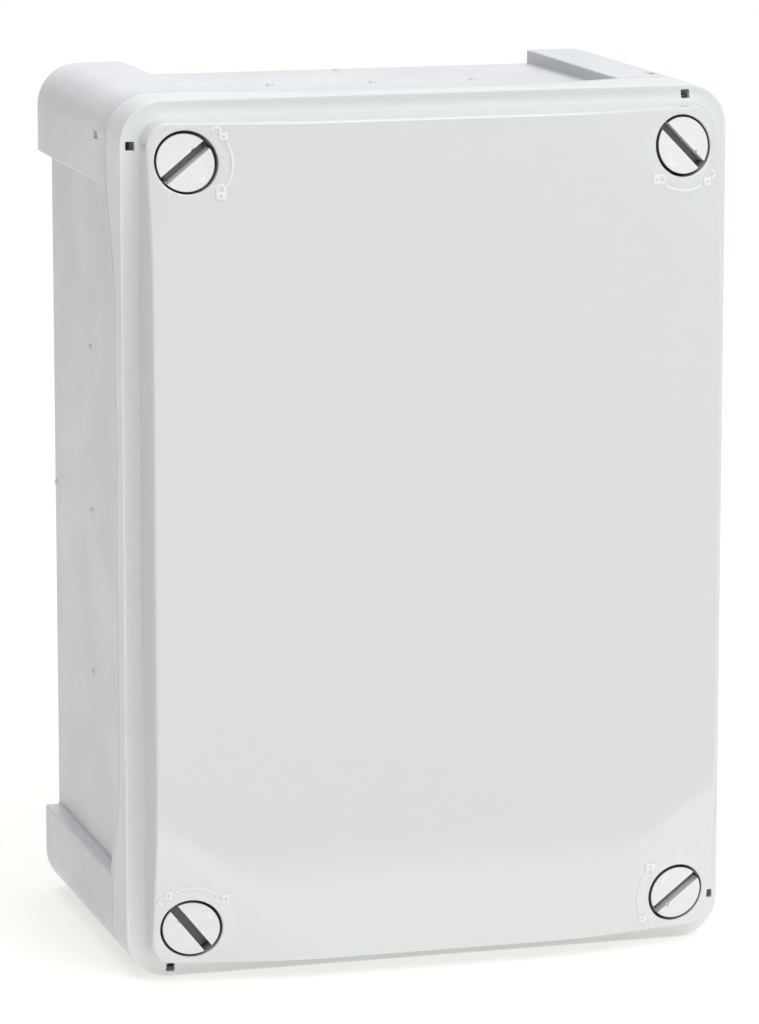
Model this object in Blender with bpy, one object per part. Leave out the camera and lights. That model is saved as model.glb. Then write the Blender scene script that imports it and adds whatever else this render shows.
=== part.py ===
"""Electrical junction box, wall or floor standing, for surface installation.

A deep moulded base with four square corner posts carries a raised lid. Four quarter-turn
closures in the lid's corners reach down into the posts. Inside, a steel mounting plate
holds a rail with feed-through terminals.

World frame: +Z up, front towards -Y, origin at the bottom centre of the whole box.
Fixed shapes are drawn in the datum's frame: X to the right, Y depth behind the lid's rim
plane, Z up from mid-height.
"""

import math

import bmesh
import bpy

MM = 0.001

# ---- driving dimensions -------------------------------------------------------------------
WIDTH = 240 * MM
HEIGHT = 339 * MM
DEPTH = 165 * MM
PANEL_RISE = 19 * MM          # rim plane to the edge of the raised panel
PANEL_CROWN = 1 * MM          # further rise from the panel's edge to its middle
CORNER_RADIUS = 16.5 * MM     # outer corners of lid, flange and posts
WALL = 3 * MM                 # moulded wall of the base
GAP = 0.3 * MM                # clearance between pieces that touch
CUT = 1 * MM                  # how far a cutter runs past the face that it opens

# ---- derived frame ------------------------------------------------------------------------
HALF_W = WIDTH / 2
HALF_H = HEIGHT / 2
RIM_Y = PANEL_RISE + PANEL_CROWN - DEPTH / 2
BACK = DEPTH / 2 - RIM_Y      # depth of the wall face behind the rim plane

# ---- base ---------------------------------------------------------------------------------
POST = 35 * MM                # side of a square corner post
RECESS_FRONT = 4.6 * MM       # walls set back from the posts, at the front
RECESS_BACK = 5.6 * MM        # and at the wall face
FLANGE = 3 * MM               # lip that the lid's skirt closes on
COLLAR_FRONT = 5.5 * MM       # front edge of the walls, under the lid
COLLAR_BACK = 37.5 * MM       # how far back the collar runs inside the posted section
POST_FRONT = 25 * MM          # where the posted section starts, within the flange's corners
SKIRT = 2.5 * MM              # lid wall thickness
COLLAR_INSET = SKIRT + 2.3 * MM
FLANGE_LAP = 1.5 * MM         # how far the flange runs into the walls it stands on
WELL_WALL = 8 * MM            # between a post's well and the outside
SHELF_FRONT = 15 * MM         # the catch shelf in each well's outer corner
SHELF_BACK = 18.5 * MM
FIXING_HOLE_RADIUS = 3 * MM

# ---- parting line between lid and flange ----------------------------------------------------
PART_SIDE = 10.5 * MM         # skirt depth along the sides
PART_CORNER = 23.5 * MM       # skirt depth round the corners
PART_FLAT = 28 * MM           # reach of the deep part from each corner
PART_EASE = 78 * MM           # where the shallow part begins

# ---- lid ----------------------------------------------------------------------------------
PANEL_INSET = 7.7 * MM
PANEL_DRAFT = 0.2 * MM        # lean of the panel's edge wall
PANEL_RINGS = (0, 12, 28, 48, 72, 100)    # millimetres in from the panel's edge
RIM_THICKNESS = 2.5 * MM
FACET_SLOPE = 0.2             # fall of the corner facets, in width and in height
FACET_BLEND = 3 * MM          # height over which a facet eases into the panel
LEAST_RADIUS = 4 * MM         # of the corners of the lid's inner outlines
BLOCK_INSET = PANEL_INSET + 1 * MM        # solid block round each closure's bore
BLOCK_RADIUS = 7 * MM
SEAL_HOLE = 3.3 * MM
SEAL_FROM_CORNER = 17 * MM
SEAL_FROM_EDGE = 3.8 * MM
SEAL_SIDE_DEPTH = 39 * MM
SEAL_SIDE_REACH = 3 * MM      # how deep the side recess goes into the post

# ---- quarter-turn closures --------------------------------------------------------------------
CLOSURE_INSET = 22.2 * MM
CLOSURE_X = HALF_W - CLOSURE_INSET
CLOSURE_Z = HALF_H - CLOSURE_INSET
CLOSURE_RISE = 13.7 * MM      # facet height over the rim plane, at a closure's axis
BORE_RADIUS = 11.75 * MM
HEAD_RADIUS = 11.2 * MM
HEAD_UNDERSIDE = -5 * MM
BORE_FLOOR = -2.5 * MM
SLOT_WIDTH = 3.5 * MM
SLOT_FLOOR = -6.5 * MM
STEM_RADIUS = 5 * MM
STEM_TIP = 24 * MM
STEM_CLEARANCE = 0.4 * MM
LUG_REACH = 9 * MM
LUG_WIDTH = 5 * MM
LUG_THICKNESS = 4 * MM
SHELF_REACH = 10.4 * MM       # from a closure's axis to the edge of its catch shelf
ORING_SECTION = 0.95 * MM
CLIP_WIDTH = 3.2 * MM
CLIP_THICKNESS = 1.5 * MM

# ---- gasket -------------------------------------------------------------------------------
GASKET_OUTER = HALF_W - 5 * MM
GASKET_WIDTH = 2.4 * MM

# ---- interior -----------------------------------------------------------------------------
PLATE_WIDTH = 206 * MM
PLATE_HEIGHT = 254 * MM
PLATE_THICKNESS = 2 * MM
PLATE_FRONT = 131 * MM
PLATE_RADIUS = 4 * MM
PLATE_SCREW_X = 92 * MM
PLATE_SCREW_Z = 116 * MM
PLATE_SCREW_LENGTH = 9 * MM
PLATE_HOLE_RADIUS = 2.5 * MM
BOSS_RADIUS = 5 * MM
BOSS_BORE_RADIUS = 2 * MM
PAN_HEAD_RADIUS = 4 * MM
PAN_HEAD_HEIGHT = 2.6 * MM
SCREW_RADIUS = 1.7 * MM
RAIL_LENGTH = 170 * MM
RAIL_WIDTH = 35 * MM
RAIL_HEIGHT = 7.5 * MM
RAIL_THICKNESS = 1 * MM
RAIL_CHANNEL = 25 * MM
RAIL_SCREW_X = 70 * MM
RAIL_SCREW_LENGTH = 6.5 * MM
RAIL_HOLE_RADIUS = 2.5 * MM
TERMINAL_COUNT = 8
TERMINAL_PITCH = 8.2 * MM
TERMINAL_HEIGHT = 46 * MM
TERMINAL_DEPTH = 42 * MM      # front face to the rail
TERMINAL_STEP = 2 * MM        # the housing narrows by this at each end, towards the rail
TERMINAL_CHAMFER = 3 * MM
HOOK = 1.5 * MM               # thickness of the feet that grip the rail from behind
HOOK_LAP = 2 * MM
SCREW_WELL_Z = 13 * MM
SCREW_WELL_RADIUS = 2.4 * MM
SCREW_WELL_DEPTH = 9 * MM
WIRE_ENTRY_RADIUS = 2.6 * MM
WIRE_ENTRY_BACK = 14 * MM     # behind the front face
WIRE_ENTRY_DEPTH = 8 * MM
END_STOP_WIDTH = 9 * MM
END_STOP_HEIGHT = TERMINAL_HEIGHT * 0.92
END_STOP_DEPTH = TERMINAL_DEPTH * 0.7
END_STOP_STEP = 1 * MM
END_STOP_CHAMFER = 2 * MM

CORNERS = {"top_left": (-1, 1), "top_right": (1, 1), "bottom_right": (1, -1), "bottom_left": (-1, -1)}


# ---- materials ------------------------------------------------------------------------------
def material(name, colour, roughness, metallic=0.0):
    """Makes one Principled BSDF material."""
    mat = bpy.data.materials.new(name)
    mat.use_nodes = True
    shader = mat.node_tree.nodes["Principled BSDF"]
    shader.inputs["Base Color"].default_value = (*colour, 1.0)
    shader.inputs["Roughness"].default_value = roughness
    shader.inputs["Metallic"].default_value = metallic
    mat.diffuse_color = (*colour, 1.0)
    return mat


# ---- mesh helpers ---------------------------------------------------------------------------
def finish_mesh(name, bm, mat, parent, location=(0, 0, 0), turn=0.0):
    """Turns a closed bmesh into a named object; turn is about Y, clockwise from the front."""
    bmesh.ops.recalc_face_normals(bm, faces=bm.faces)
    mesh = bpy.data.meshes.new(name)
    bm.to_mesh(mesh)
    bm.free()
    mesh.materials.append(mat)
    return place_mesh(name, mesh, parent, location, turn)


def place_mesh(name, mesh, parent, location=(0, 0, 0), turn=0.0):
    """Puts a mesh, which other pieces may share, in the scene as one named object."""
    obj = bpy.data.objects.new(name, mesh)
    bpy.context.collection.objects.link(obj)
    obj.parent = parent
    obj.location = location
    obj.rotation_euler = (0.0, turn, 0.0)
    return obj


def loft(bm, loops, ring=False):
    """Bridges loops of equal length; capped at both ends, or closed on itself as a ring."""
    rows = [[bm.verts.new(point) for point in loop] for loop in loops]
    pairs = list(zip(rows, rows[1:]))
    if ring:
        pairs.append((rows[-1], rows[0]))
    else:
        bm.faces.new(rows[0])
        bm.faces.new(rows[-1])
    for near, far in pairs:
        count = len(near)
        for i in range(count):
            j = (i + 1) % count
            bm.faces.new((near[i], near[j], far[j], far[i]))


def at_depth(outline, depth):
    """Lifts an (x, z) outline to a plane at one depth."""
    return [(x, depth, z) for x, z in outline]


def add_prism(bm, outline, front, back):
    """Adds an outline extruded along Y."""
    loft(bm, [at_depth(outline, front), at_depth(outline, back)])


def box_outline(x0, x1, z0, z1):
    """A plain rectangle."""
    return [(x0, z0), (x1, z0), (x1, z1), (x0, z1)]


def circle_outline(x, z, radius, steps):
    """A regular polygon round (x, z)."""
    angles = [2 * math.pi * i / steps for i in range(steps)]
    return [(x + radius * math.cos(a), z + radius * math.sin(a)) for a in angles]


def arc(x, z, radius, start, steps):
    """Quarter-circle points round (x, z), from the angle start, anticlockwise."""
    angles = [start + math.pi / 2 * i / steps for i in range(steps + 1)]
    return [(x + radius * math.cos(a), z + radius * math.sin(a)) for a in angles]


def rounded_outline(half_x, half_z, radius, arc_steps=6, side_steps=(1, 1)):
    """A rounded rectangle, with its long straight runs divided into side_steps."""
    points = []
    signs = ((1, 1), (-1, 1), (-1, -1), (1, -1))
    for quarter, (sx, sz) in enumerate(signs):
        start = quarter * math.pi / 2
        centre = (sx * (half_x - radius), sz * (half_z - radius))
        corner = arc(*centre, radius, start, arc_steps)
        points += corner
        next_sx, next_sz = signs[(quarter + 1) % 4]
        next_start = start + math.pi / 2
        next_x = next_sx * (half_x - radius) + radius * math.cos(next_start)
        next_z = next_sz * (half_z - radius) + radius * math.sin(next_start)
        steps = side_steps[quarter % 2]
        last_x, last_z = corner[-1]
        for i in range(1, steps):
            t = i / steps
            points.append((last_x + (next_x - last_x) * t, last_z + (next_z - last_z) * t))
    return points


def posted_outline(recess, arc_steps=6):
    """The base's section: recessed walls between four corner posts."""
    quarter = [(HALF_W - recess, HALF_H - POST), (HALF_W, HALF_H - POST)]
    quarter += arc(HALF_W - CORNER_RADIUS, HALF_H - CORNER_RADIUS, CORNER_RADIUS, 0, arc_steps)
    quarter += [(HALF_W - POST, HALF_H), (HALF_W - POST, HALF_H - recess)]
    return four_quarters(quarter)


def notched_outline(half_x, half_z, notch_x, notch_z):
    """A rectangle with a square notch cut from each corner."""
    quarter = [(half_x, notch_z), (notch_x, notch_z), (notch_x, half_z)]
    return four_quarters(quarter)


def four_quarters(quarter):
    """Mirrors the first quadrant's points into a whole outline, anticlockwise."""
    second = [(-x, z) for x, z in reversed(quarter)]
    third = [(-x, -z) for x, z in quarter]
    fourth = [(x, -z) for x, z in reversed(quarter)]
    return quarter + second + third + fourth


def add_turned(bm, profile, steps, ring=False):
    """Revolves (radius, depth) points about Y; capped at both ends, or closed as a ring."""
    loops = []
    for radius, depth in profile:
        loops.append(at_depth(circle_outline(0, 0, radius, steps), depth))
    loft(bm, loops, ring)


def boolean(obj, other, operation):
    """Adds an exact Boolean of obj with a hidden cutter or filler."""
    other.hide_render = True
    other.display_type = "WIRE"
    modifier = obj.modifiers.new(operation.lower(), "BOOLEAN")
    modifier.operation = operation
    modifier.solver = "EXACT"
    modifier.object = other


def smooth(obj, angle=30.0):
    """Shades round faces smooth and keeps the corners sharp."""
    obj.data.shade_smooth()
    obj.data.set_sharp_from_angle(angle=math.radians(angle))


# ---- shared curves --------------------------------------------------------------------------
def ease(t):
    """Smooth step from 0 to 1."""
    t = min(max(t, 0.0), 1.0)
    return t * t * (3 - 2 * t)


def parting_depth(x, z):
    """Depth of the lid's skirt edge: deep round the corners, shallow along the sides."""
    along = max(HALF_W - abs(x), HALF_H - abs(z))
    t = ease((along - PART_FLAT) / (PART_EASE - PART_FLAT))
    return PART_CORNER + (PART_SIDE - PART_CORNER) * t


def panel_height(x, z):
    """Height of the raised panel over the rim plane: a crown with sloping corner facets."""
    crown = (1 - (x / HALF_W) ** 2) * (1 - (z / HALF_H) ** 2)
    top = PANEL_RISE + PANEL_CROWN * crown
    facet = CLOSURE_RISE + FACET_SLOPE * (CLOSURE_X - abs(x) + CLOSURE_Z - abs(z))
    t = min(max(0.5 + 0.5 * (facet - top) / FACET_BLEND, 0.0), 1.0)
    return facet + (top - facet) * t - FACET_BLEND * t * (1 - t)


def outline_inset(inset):
    """The lid's outline, drawn in by an inset, always with the same number of points."""
    radius = max(CORNER_RADIUS - inset, LEAST_RADIUS)
    return rounded_outline(HALF_W - inset, HALF_H - inset, radius, 5, (8, 12))


def corner_turn(corner):
    """Clockwise turn that carries the top left corner's pattern to another corner."""
    return list(CORNERS).index(corner) * math.pi / 2


# ---- base -----------------------------------------------------------------------------------
def make_base(mat, datum):
    """The tub: walls between corner posts, a flange along the parting line, wells and bosses."""
    body = bmesh.new()
    front = at_depth(posted_outline(RECESS_FRONT), POST_FRONT)
    back = at_depth(posted_outline(RECESS_BACK), BACK)
    loft(body, [front, back])
    base = finish_mesh("base", body, mat, datum)

    collar = bmesh.new()
    inset = COLLAR_INSET
    add_prism(collar, rounded_outline(HALF_W - inset, HALF_H - inset, CORNER_RADIUS - SKIRT),
              COLLAR_FRONT, COLLAR_BACK)
    boolean(base, finish_mesh("collar_filler", collar, mat, datum), "UNION")

    flange = bmesh.new()
    outer = outline_inset(0.0)
    inner = outline_inset(COLLAR_INSET + FLANGE_LAP)
    depths = [parting_depth(x, z) + GAP for x, z in outer]
    loft(flange, [
        [(x, d, z) for (x, z), d in zip(outer, depths)],
        [(x, d + FLANGE, z) for (x, z), d in zip(outer, depths)],
        [(x, d + FLANGE, z) for (x, z), d in zip(inner, depths)],
        [(x, d, z) for (x, z), d in zip(inner, depths)],
    ], ring=True)
    boolean(base, finish_mesh("flange_filler", flange, mat, datum), "UNION")

    hollow = bmesh.new()
    chamber_front = notched_outline(
        HALF_W - COLLAR_INSET - WALL, HALF_H - COLLAR_INSET - WALL, HALF_W - POST, HALF_H - POST)
    chamber_back = notched_outline(
        HALF_W - RECESS_BACK - WALL, HALF_H - RECESS_BACK - WALL, HALF_W - POST, HALF_H - POST)
    loft(hollow, [at_depth(chamber_front, 0.0), at_depth(chamber_back, BACK - WALL)])
    for sx, sz in CORNERS.values():
        xs = sorted((sx * (HALF_W - POST + WALL), sx * (HALF_W - WELL_WALL)))
        zs = sorted((sz * (HALF_H - POST + WALL), sz * (HALF_H - WELL_WALL)))
        well = box_outline(*xs, *zs)
        add_prism(hollow, well, 0.0, SHELF_FRONT)
        add_prism(hollow, well, SHELF_BACK, BACK - WALL)
    boolean(base, finish_mesh("hollow_cutter", hollow, mat, datum), "DIFFERENCE")

    bosses = bmesh.new()
    for sx, sz in CORNERS.values():
        outline = circle_outline(sx * PLATE_SCREW_X, sz * PLATE_SCREW_Z, BOSS_RADIUS, 16)
        add_prism(bosses, outline, PLATE_FRONT + PLATE_THICKNESS + GAP, BACK - WALL / 2)
    boolean(base, finish_mesh("boss_filler", bosses, mat, datum), "UNION")

    holes = bmesh.new()
    for corner, (sx, sz) in CORNERS.items():
        x, z = sx * CLOSURE_X, sz * CLOSURE_Z
        xs = sorted((sx * (HALF_W - POST + WALL - GAP), x + sx * SHELF_REACH))
        zs = sorted((sz * (HALF_H - POST + WALL - GAP), z + sz * SHELF_REACH))
        add_prism(holes, box_outline(*xs, *zs), SHELF_FRONT - CUT, SHELF_BACK + CUT)
        add_prism(holes, circle_outline(x, z, FIXING_HOLE_RADIUS, 12), BACK - WALL - CUT, BACK + CUT)
        boss_x, boss_z = sx * PLATE_SCREW_X, sz * PLATE_SCREW_Z
        add_prism(holes, circle_outline(boss_x, boss_z, BOSS_BORE_RADIUS, 10), PLATE_FRONT, BACK - WALL)
        add_seal_recess(holes, corner)
    boolean(base, finish_mesh("base_hole_cutter", holes, mat, datum), "DIFFERENCE")
    smooth(base)
    return base


def corner_point(corner, along, inward):
    """A point near a corner: along one side from the corner, and inward from that side.

    The side is the left one at the top left corner, and the next one clockwise at the
    next corner, so the four points make a pattern that turns with the corners.
    """
    sx, sz = CORNERS[corner]
    if corner in ("top_left", "bottom_right"):
        return sx * (HALF_W - inward), sz * (HALF_H - along)
    return sx * (HALF_W - along), sz * (HALF_H - inward)


def add_seal_recess(bm, corner):
    """A square recess in a post's outer face, where a sealing wire comes out."""
    half = SEAL_HOLE / 2
    reach = SEAL_SIDE_REACH
    x, z = corner_point(corner, SEAL_FROM_CORNER, 0.0)
    if corner in ("top_left", "bottom_right"):
        outline = box_outline(x - reach, x + reach, z - half, z + half)
    else:
        outline = box_outline(x - half, x + half, z - reach, z + reach)
    add_prism(bm, outline, SEAL_SIDE_DEPTH - half, SEAL_SIDE_DEPTH + half)


# ---- lid ------------------------------------------------------------------------------------
def panel_loop(inset, sink=0.0):
    """One loop on the raised panel, or below its surface by sink."""
    return [(x, sink - panel_height(x, z), z) for x, z in outline_inset(inset)]


def make_lid(mat, datum):
    """The lid: skirt, rim and raised panel, hollow behind, with a bored block per closure."""
    insets = [PANEL_INSET + ring * MM for ring in PANEL_RINGS]
    outer = outline_inset(0.0)
    edge = [parting_depth(x, z) for x, z in outer]
    pocket = outline_inset(SKIRT)
    outside = [panel_loop(inset) for inset in reversed(insets)]
    inside = [panel_loop(inset + SKIRT, SKIRT) for inset in insets]
    shell = bmesh.new()
    loft(shell, outside + [
        at_depth(outline_inset(PANEL_INSET - PANEL_DRAFT), 0.0),
        at_depth(outer, 0.0),
        [(x, depth, z) for (x, z), depth in zip(outer, edge)],
        [(x, depth, z) for (x, z), depth in zip(pocket, edge)],
        at_depth(pocket, RIM_THICKNESS),
        at_depth(outline_inset(PANEL_INSET + SKIRT), RIM_THICKNESS),
    ] + inside)
    lid = finish_mesh("lid", shell, mat, datum)

    blocks = bmesh.new()
    side = (POST - BLOCK_INSET) / 2
    square = rounded_outline(side, side, BLOCK_RADIUS, 3)
    for sx, sz in CORNERS.values():
        centre_x, centre_z = sx * (HALF_W - BLOCK_INSET - side), sz * (HALF_H - BLOCK_INSET - side)
        outline = [(x + centre_x, z + centre_z) for x, z in square]
        top = [(x, SKIRT / 2 - panel_height(x, z), z) for x, z in outline]
        loft(blocks, [top, at_depth(outline, RIM_THICKNESS)])
    boolean(lid, finish_mesh("block_filler", blocks, mat, datum), "UNION")

    bores = bmesh.new()
    holes = bmesh.new()
    half = SEAL_HOLE / 2
    for corner, (sx, sz) in CORNERS.items():
        x, z = sx * CLOSURE_X, sz * CLOSURE_Z
        add_prism(bores, circle_outline(x, z, BORE_RADIUS, 32), -DEPTH / 4, BORE_FLOOR)
        add_prism(holes, circle_outline(x, z, STEM_RADIUS + STEM_CLEARANCE, 20),
                  BORE_FLOOR - CUT, RIM_THICKNESS + CUT)
        x, z = corner_point(corner, SEAL_FROM_CORNER, SEAL_FROM_EDGE)
        add_prism(holes, box_outline(x - half, x + half, z - half, z + half),
                  -CUT, RIM_THICKNESS + CUT)
    boolean(lid, finish_mesh("bore_cutter", bores, mat, datum), "DIFFERENCE")
    boolean(lid, finish_mesh("hole_cutter", holes, mat, datum), "DIFFERENCE")
    smooth(lid)
    return lid


def make_gasket(mat, datum):
    """The seal on the chamber walls, which steps round the four posts."""
    bm = bmesh.new()
    post = HALF_W - POST
    outer = notched_outline(GASKET_OUTER, GASKET_OUTER + HALF_H - HALF_W,
                            post + GASKET_WIDTH, post + HALF_H - HALF_W + GASKET_WIDTH)
    inner = notched_outline(GASKET_OUTER - GASKET_WIDTH, GASKET_OUTER - GASKET_WIDTH + HALF_H - HALF_W,
                            post + GAP, post + HALF_H - HALF_W + GAP)
    front = RIM_THICKNESS + GAP
    back = COLLAR_FRONT - GAP
    loft(bm, [at_depth(outer, front), at_depth(outer, back),
              at_depth(inner, back), at_depth(inner, front)], ring=True)
    return finish_mesh("lid_gasket", bm, mat, datum)


# ---- closures -------------------------------------------------------------------------------
def closure_mesh(mat, datum):
    """One closure, drawn for the top left corner: sloping head, stem and two lugs."""
    bm = bmesh.new()
    steps = 32
    top = []
    for x, z in circle_outline(0, 0, HEAD_RADIUS, steps):
        top.append((x, -CLOSURE_RISE - FACET_SLOPE * (x - z), z))
    loops = [top, at_depth(circle_outline(0, 0, HEAD_RADIUS, steps), HEAD_UNDERSIDE)]
    loops.append(at_depth(circle_outline(0, 0, STEM_RADIUS, steps), HEAD_UNDERSIDE))
    loops.append(at_depth(circle_outline(0, 0, STEM_RADIUS, steps), STEM_TIP))
    loft(bm, loops)
    closure = finish_mesh("closure_blank", bm, mat, datum)

    bm = bmesh.new()
    lug = box_outline(-LUG_REACH, LUG_REACH, -LUG_WIDTH / 2, LUG_WIDTH / 2)
    add_prism(bm, lug, STEM_TIP - CUT - LUG_THICKNESS, STEM_TIP - CUT)
    lugs = finish_mesh("lug_filler", bm, mat, datum)
    lugs.rotation_euler.y = -math.pi / 4
    boolean(closure, lugs, "UNION")

    bm = bmesh.new()
    slot = box_outline(-2 * HEAD_RADIUS, 2 * HEAD_RADIUS, -SLOT_WIDTH / 2, SLOT_WIDTH / 2)
    add_prism(bm, slot, -DEPTH / 4, SLOT_FLOOR)
    slot = finish_mesh("slot_cutter", bm, mat, datum)
    slot.rotation_euler.y = -math.pi / 4
    boolean(closure, slot, "DIFFERENCE")
    smooth(closure)

    bpy.context.view_layer.update()
    graph = bpy.context.evaluated_depsgraph_get()
    mesh = bpy.data.meshes.new_from_object(closure.evaluated_get(graph))
    for scrap in (closure, lugs, slot):
        bpy.data.objects.remove(scrap)
    return mesh


def make_closures(plastic, seal, spring_steel, datum):
    """Four closures with their O-rings and retaining rings, each about its own axis."""
    head = closure_mesh(plastic, datum)

    bm = bmesh.new()
    middle = (HEAD_UNDERSIDE + BORE_FLOOR) / 2
    radius = STEM_RADIUS + GAP + ORING_SECTION
    section = [(radius + u, middle + v) for u, v in circle_outline(0, 0, ORING_SECTION, 6)]
    add_turned(bm, section, 16, ring=True)
    oring = finish_mesh("closure_oring_blank", bm, seal, datum)

    bm = bmesh.new()
    front = RIM_THICKNESS + GAP
    inner, outer = STEM_RADIUS + GAP, STEM_RADIUS + GAP + CLIP_WIDTH
    back = front + CLIP_THICKNESS
    section = [(inner, front), (outer, front), (outer, back), (inner, back)]
    add_turned(bm, section, 16, ring=True)
    clip = finish_mesh("closure_clip_blank", bm, spring_steel, datum)

    for corner, (sx, sz) in CORNERS.items():
        spot = (sx * CLOSURE_X, 0.0, sz * CLOSURE_Z)
        turn = corner_turn(corner)
        place_mesh(f"closure_{corner}", head, datum, spot, turn)
        place_mesh(f"closure_oring_{corner}", oring.data, datum, spot, turn)
        place_mesh(f"closure_clip_{corner}", clip.data, datum, spot, turn)
    bpy.data.objects.remove(oring)
    bpy.data.objects.remove(clip)


# ---- interior -------------------------------------------------------------------------------
def screw_blank(name, mat, length, datum):
    """A pan-head screw along Y, its head's underside at depth 0."""
    bm = bmesh.new()
    add_turned(bm, [(PAN_HEAD_RADIUS * 0.7, -PAN_HEAD_HEIGHT), (PAN_HEAD_RADIUS, -PAN_HEAD_HEIGHT / 2),
                    (PAN_HEAD_RADIUS, 0.0), (SCREW_RADIUS, 0.0), (SCREW_RADIUS, length)], 12)
    screw = finish_mesh(name, bm, mat, datum)
    smooth(screw)
    return screw


def make_plate(steel, datum):
    """The mounting plate on its four bosses, with its screws."""
    bm = bmesh.new()
    outline = rounded_outline(PLATE_WIDTH / 2, PLATE_HEIGHT / 2, PLATE_RADIUS, 2)
    add_prism(bm, outline, PLATE_FRONT, PLATE_FRONT + PLATE_THICKNESS)
    plate = finish_mesh("mounting_plate", bm, steel, datum)
    bm = bmesh.new()
    spots = [(sx * PLATE_SCREW_X, sz * PLATE_SCREW_Z) for sx, sz in CORNERS.values()]
    spots += [(-RAIL_SCREW_X, 0.0), (RAIL_SCREW_X, 0.0)]
    for x, z in spots:
        add_prism(bm, circle_outline(x, z, PLATE_HOLE_RADIUS, 16),
                  PLATE_FRONT - CUT, PLATE_FRONT + PLATE_THICKNESS + CUT)
    boolean(plate, finish_mesh("plate_hole_cutter", bm, steel, datum), "DIFFERENCE")

    screw = screw_blank("plate_screw_blank", steel, PLATE_SCREW_LENGTH, datum)
    for corner, (sx, sz) in CORNERS.items():
        place_mesh(f"plate_screw_{corner}", screw.data, datum,
                   (sx * PLATE_SCREW_X, PLATE_FRONT - GAP, sz * PLATE_SCREW_Z))
    bpy.data.objects.remove(screw)


def make_rail(steel, datum):
    """A top-hat rail across the plate, with a screw at each end."""
    back = PLATE_FRONT - GAP
    bm = bmesh.new()
    t = RAIL_THICKNESS
    half = RAIL_WIDTH / 2
    channel = RAIL_CHANNEL / 2
    side = [(half, 0), (half, t), (channel, t), (channel, RAIL_HEIGHT)]
    inner = [(channel - t, RAIL_HEIGHT - t), (channel - t, 0)]
    profile = side + [(-z, d) for z, d in reversed(side)]
    profile += [(-z, d) for z, d in reversed(inner)] + inner
    loops = []
    for x in (-RAIL_LENGTH / 2, RAIL_LENGTH / 2):
        loops.append([(x, back - RAIL_HEIGHT + d, z) for z, d in profile])
    loft(bm, loops)
    rail = finish_mesh("terminal_rail", bm, steel, datum)
    bm = bmesh.new()
    for sx in (-1, 1):
        add_prism(bm, circle_outline(sx * RAIL_SCREW_X, 0, RAIL_HOLE_RADIUS, 16),
                  back - t - CUT, back + CUT)
    boolean(rail, finish_mesh("rail_hole_cutter", bm, steel, datum), "DIFFERENCE")

    screw = screw_blank("rail_screw_blank", steel, RAIL_SCREW_LENGTH, datum)
    for name, sx in (("left", -1), ("right", 1)):
        place_mesh(f"rail_screw_{name}", screw.data, datum,
                   (sx * RAIL_SCREW_X, back - RAIL_THICKNESS - GAP, 0.0))
    bpy.data.objects.remove(screw)


def terminal_profile(height, depth, step, chamfer):
    """A terminal's side view: a stepped housing hooked over the rail, as (z, depth) points.

    Depth runs back from the housing's front face to the rail's front plane and beyond.
    """
    half = height / 2
    hook = RAIL_WIDTH / 2 + GAP
    lip = depth + RAIL_THICKNESS + GAP
    right = [(half - chamfer, 0.0), (half, chamfer), (half, depth * 0.55), (half - step, depth * 0.7),
             (half - step, lip + HOOK), (hook - HOOK_LAP, lip + HOOK), (hook - HOOK_LAP, lip),
             (hook, lip), (hook, depth - GAP)]
    left = [(-z, d) for z, d in reversed(right)]
    return right + left


def add_profile(bm, profile, x0, x1, front):
    """Extrudes a (z, depth) side view along X."""
    loft(bm, [[(x, front + d, z) for z, d in profile] for x in (x0, x1)])


def terminal_mesh(name, mat, width, datum):
    """A terminal with two screw wells in front and two wire entries above and below."""
    bm = bmesh.new()
    front = PLATE_FRONT - GAP - RAIL_HEIGHT - TERMINAL_DEPTH
    profile = terminal_profile(TERMINAL_HEIGHT, TERMINAL_DEPTH, TERMINAL_STEP, TERMINAL_CHAMFER)
    add_profile(bm, profile, -width / 2, width / 2, front)
    body = finish_mesh(name, bm, mat, datum)
    bm = bmesh.new()
    entry = circle_outline(0, front + WIRE_ENTRY_BACK, WIRE_ENTRY_RADIUS, 12)
    ends = (TERMINAL_HEIGHT / 2 - WIRE_ENTRY_DEPTH, TERMINAL_HEIGHT / 2 + CUT)
    for sz in (-1, 1):
        add_prism(bm, circle_outline(0, sz * SCREW_WELL_Z, SCREW_WELL_RADIUS, 12),
                  front - CUT, front + SCREW_WELL_DEPTH)
        loft(bm, [[(x, y, sz * end) for x, y in entry] for end in ends])
    cutter = finish_mesh(name + "_cutter", bm, mat, datum)
    boolean(body, cutter, "DIFFERENCE")
    bpy.context.view_layer.update()
    graph = bpy.context.evaluated_depsgraph_get()
    mesh = bpy.data.meshes.new_from_object(body.evaluated_get(graph))
    bpy.data.objects.remove(body)
    bpy.data.objects.remove(cutter)
    return mesh


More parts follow.
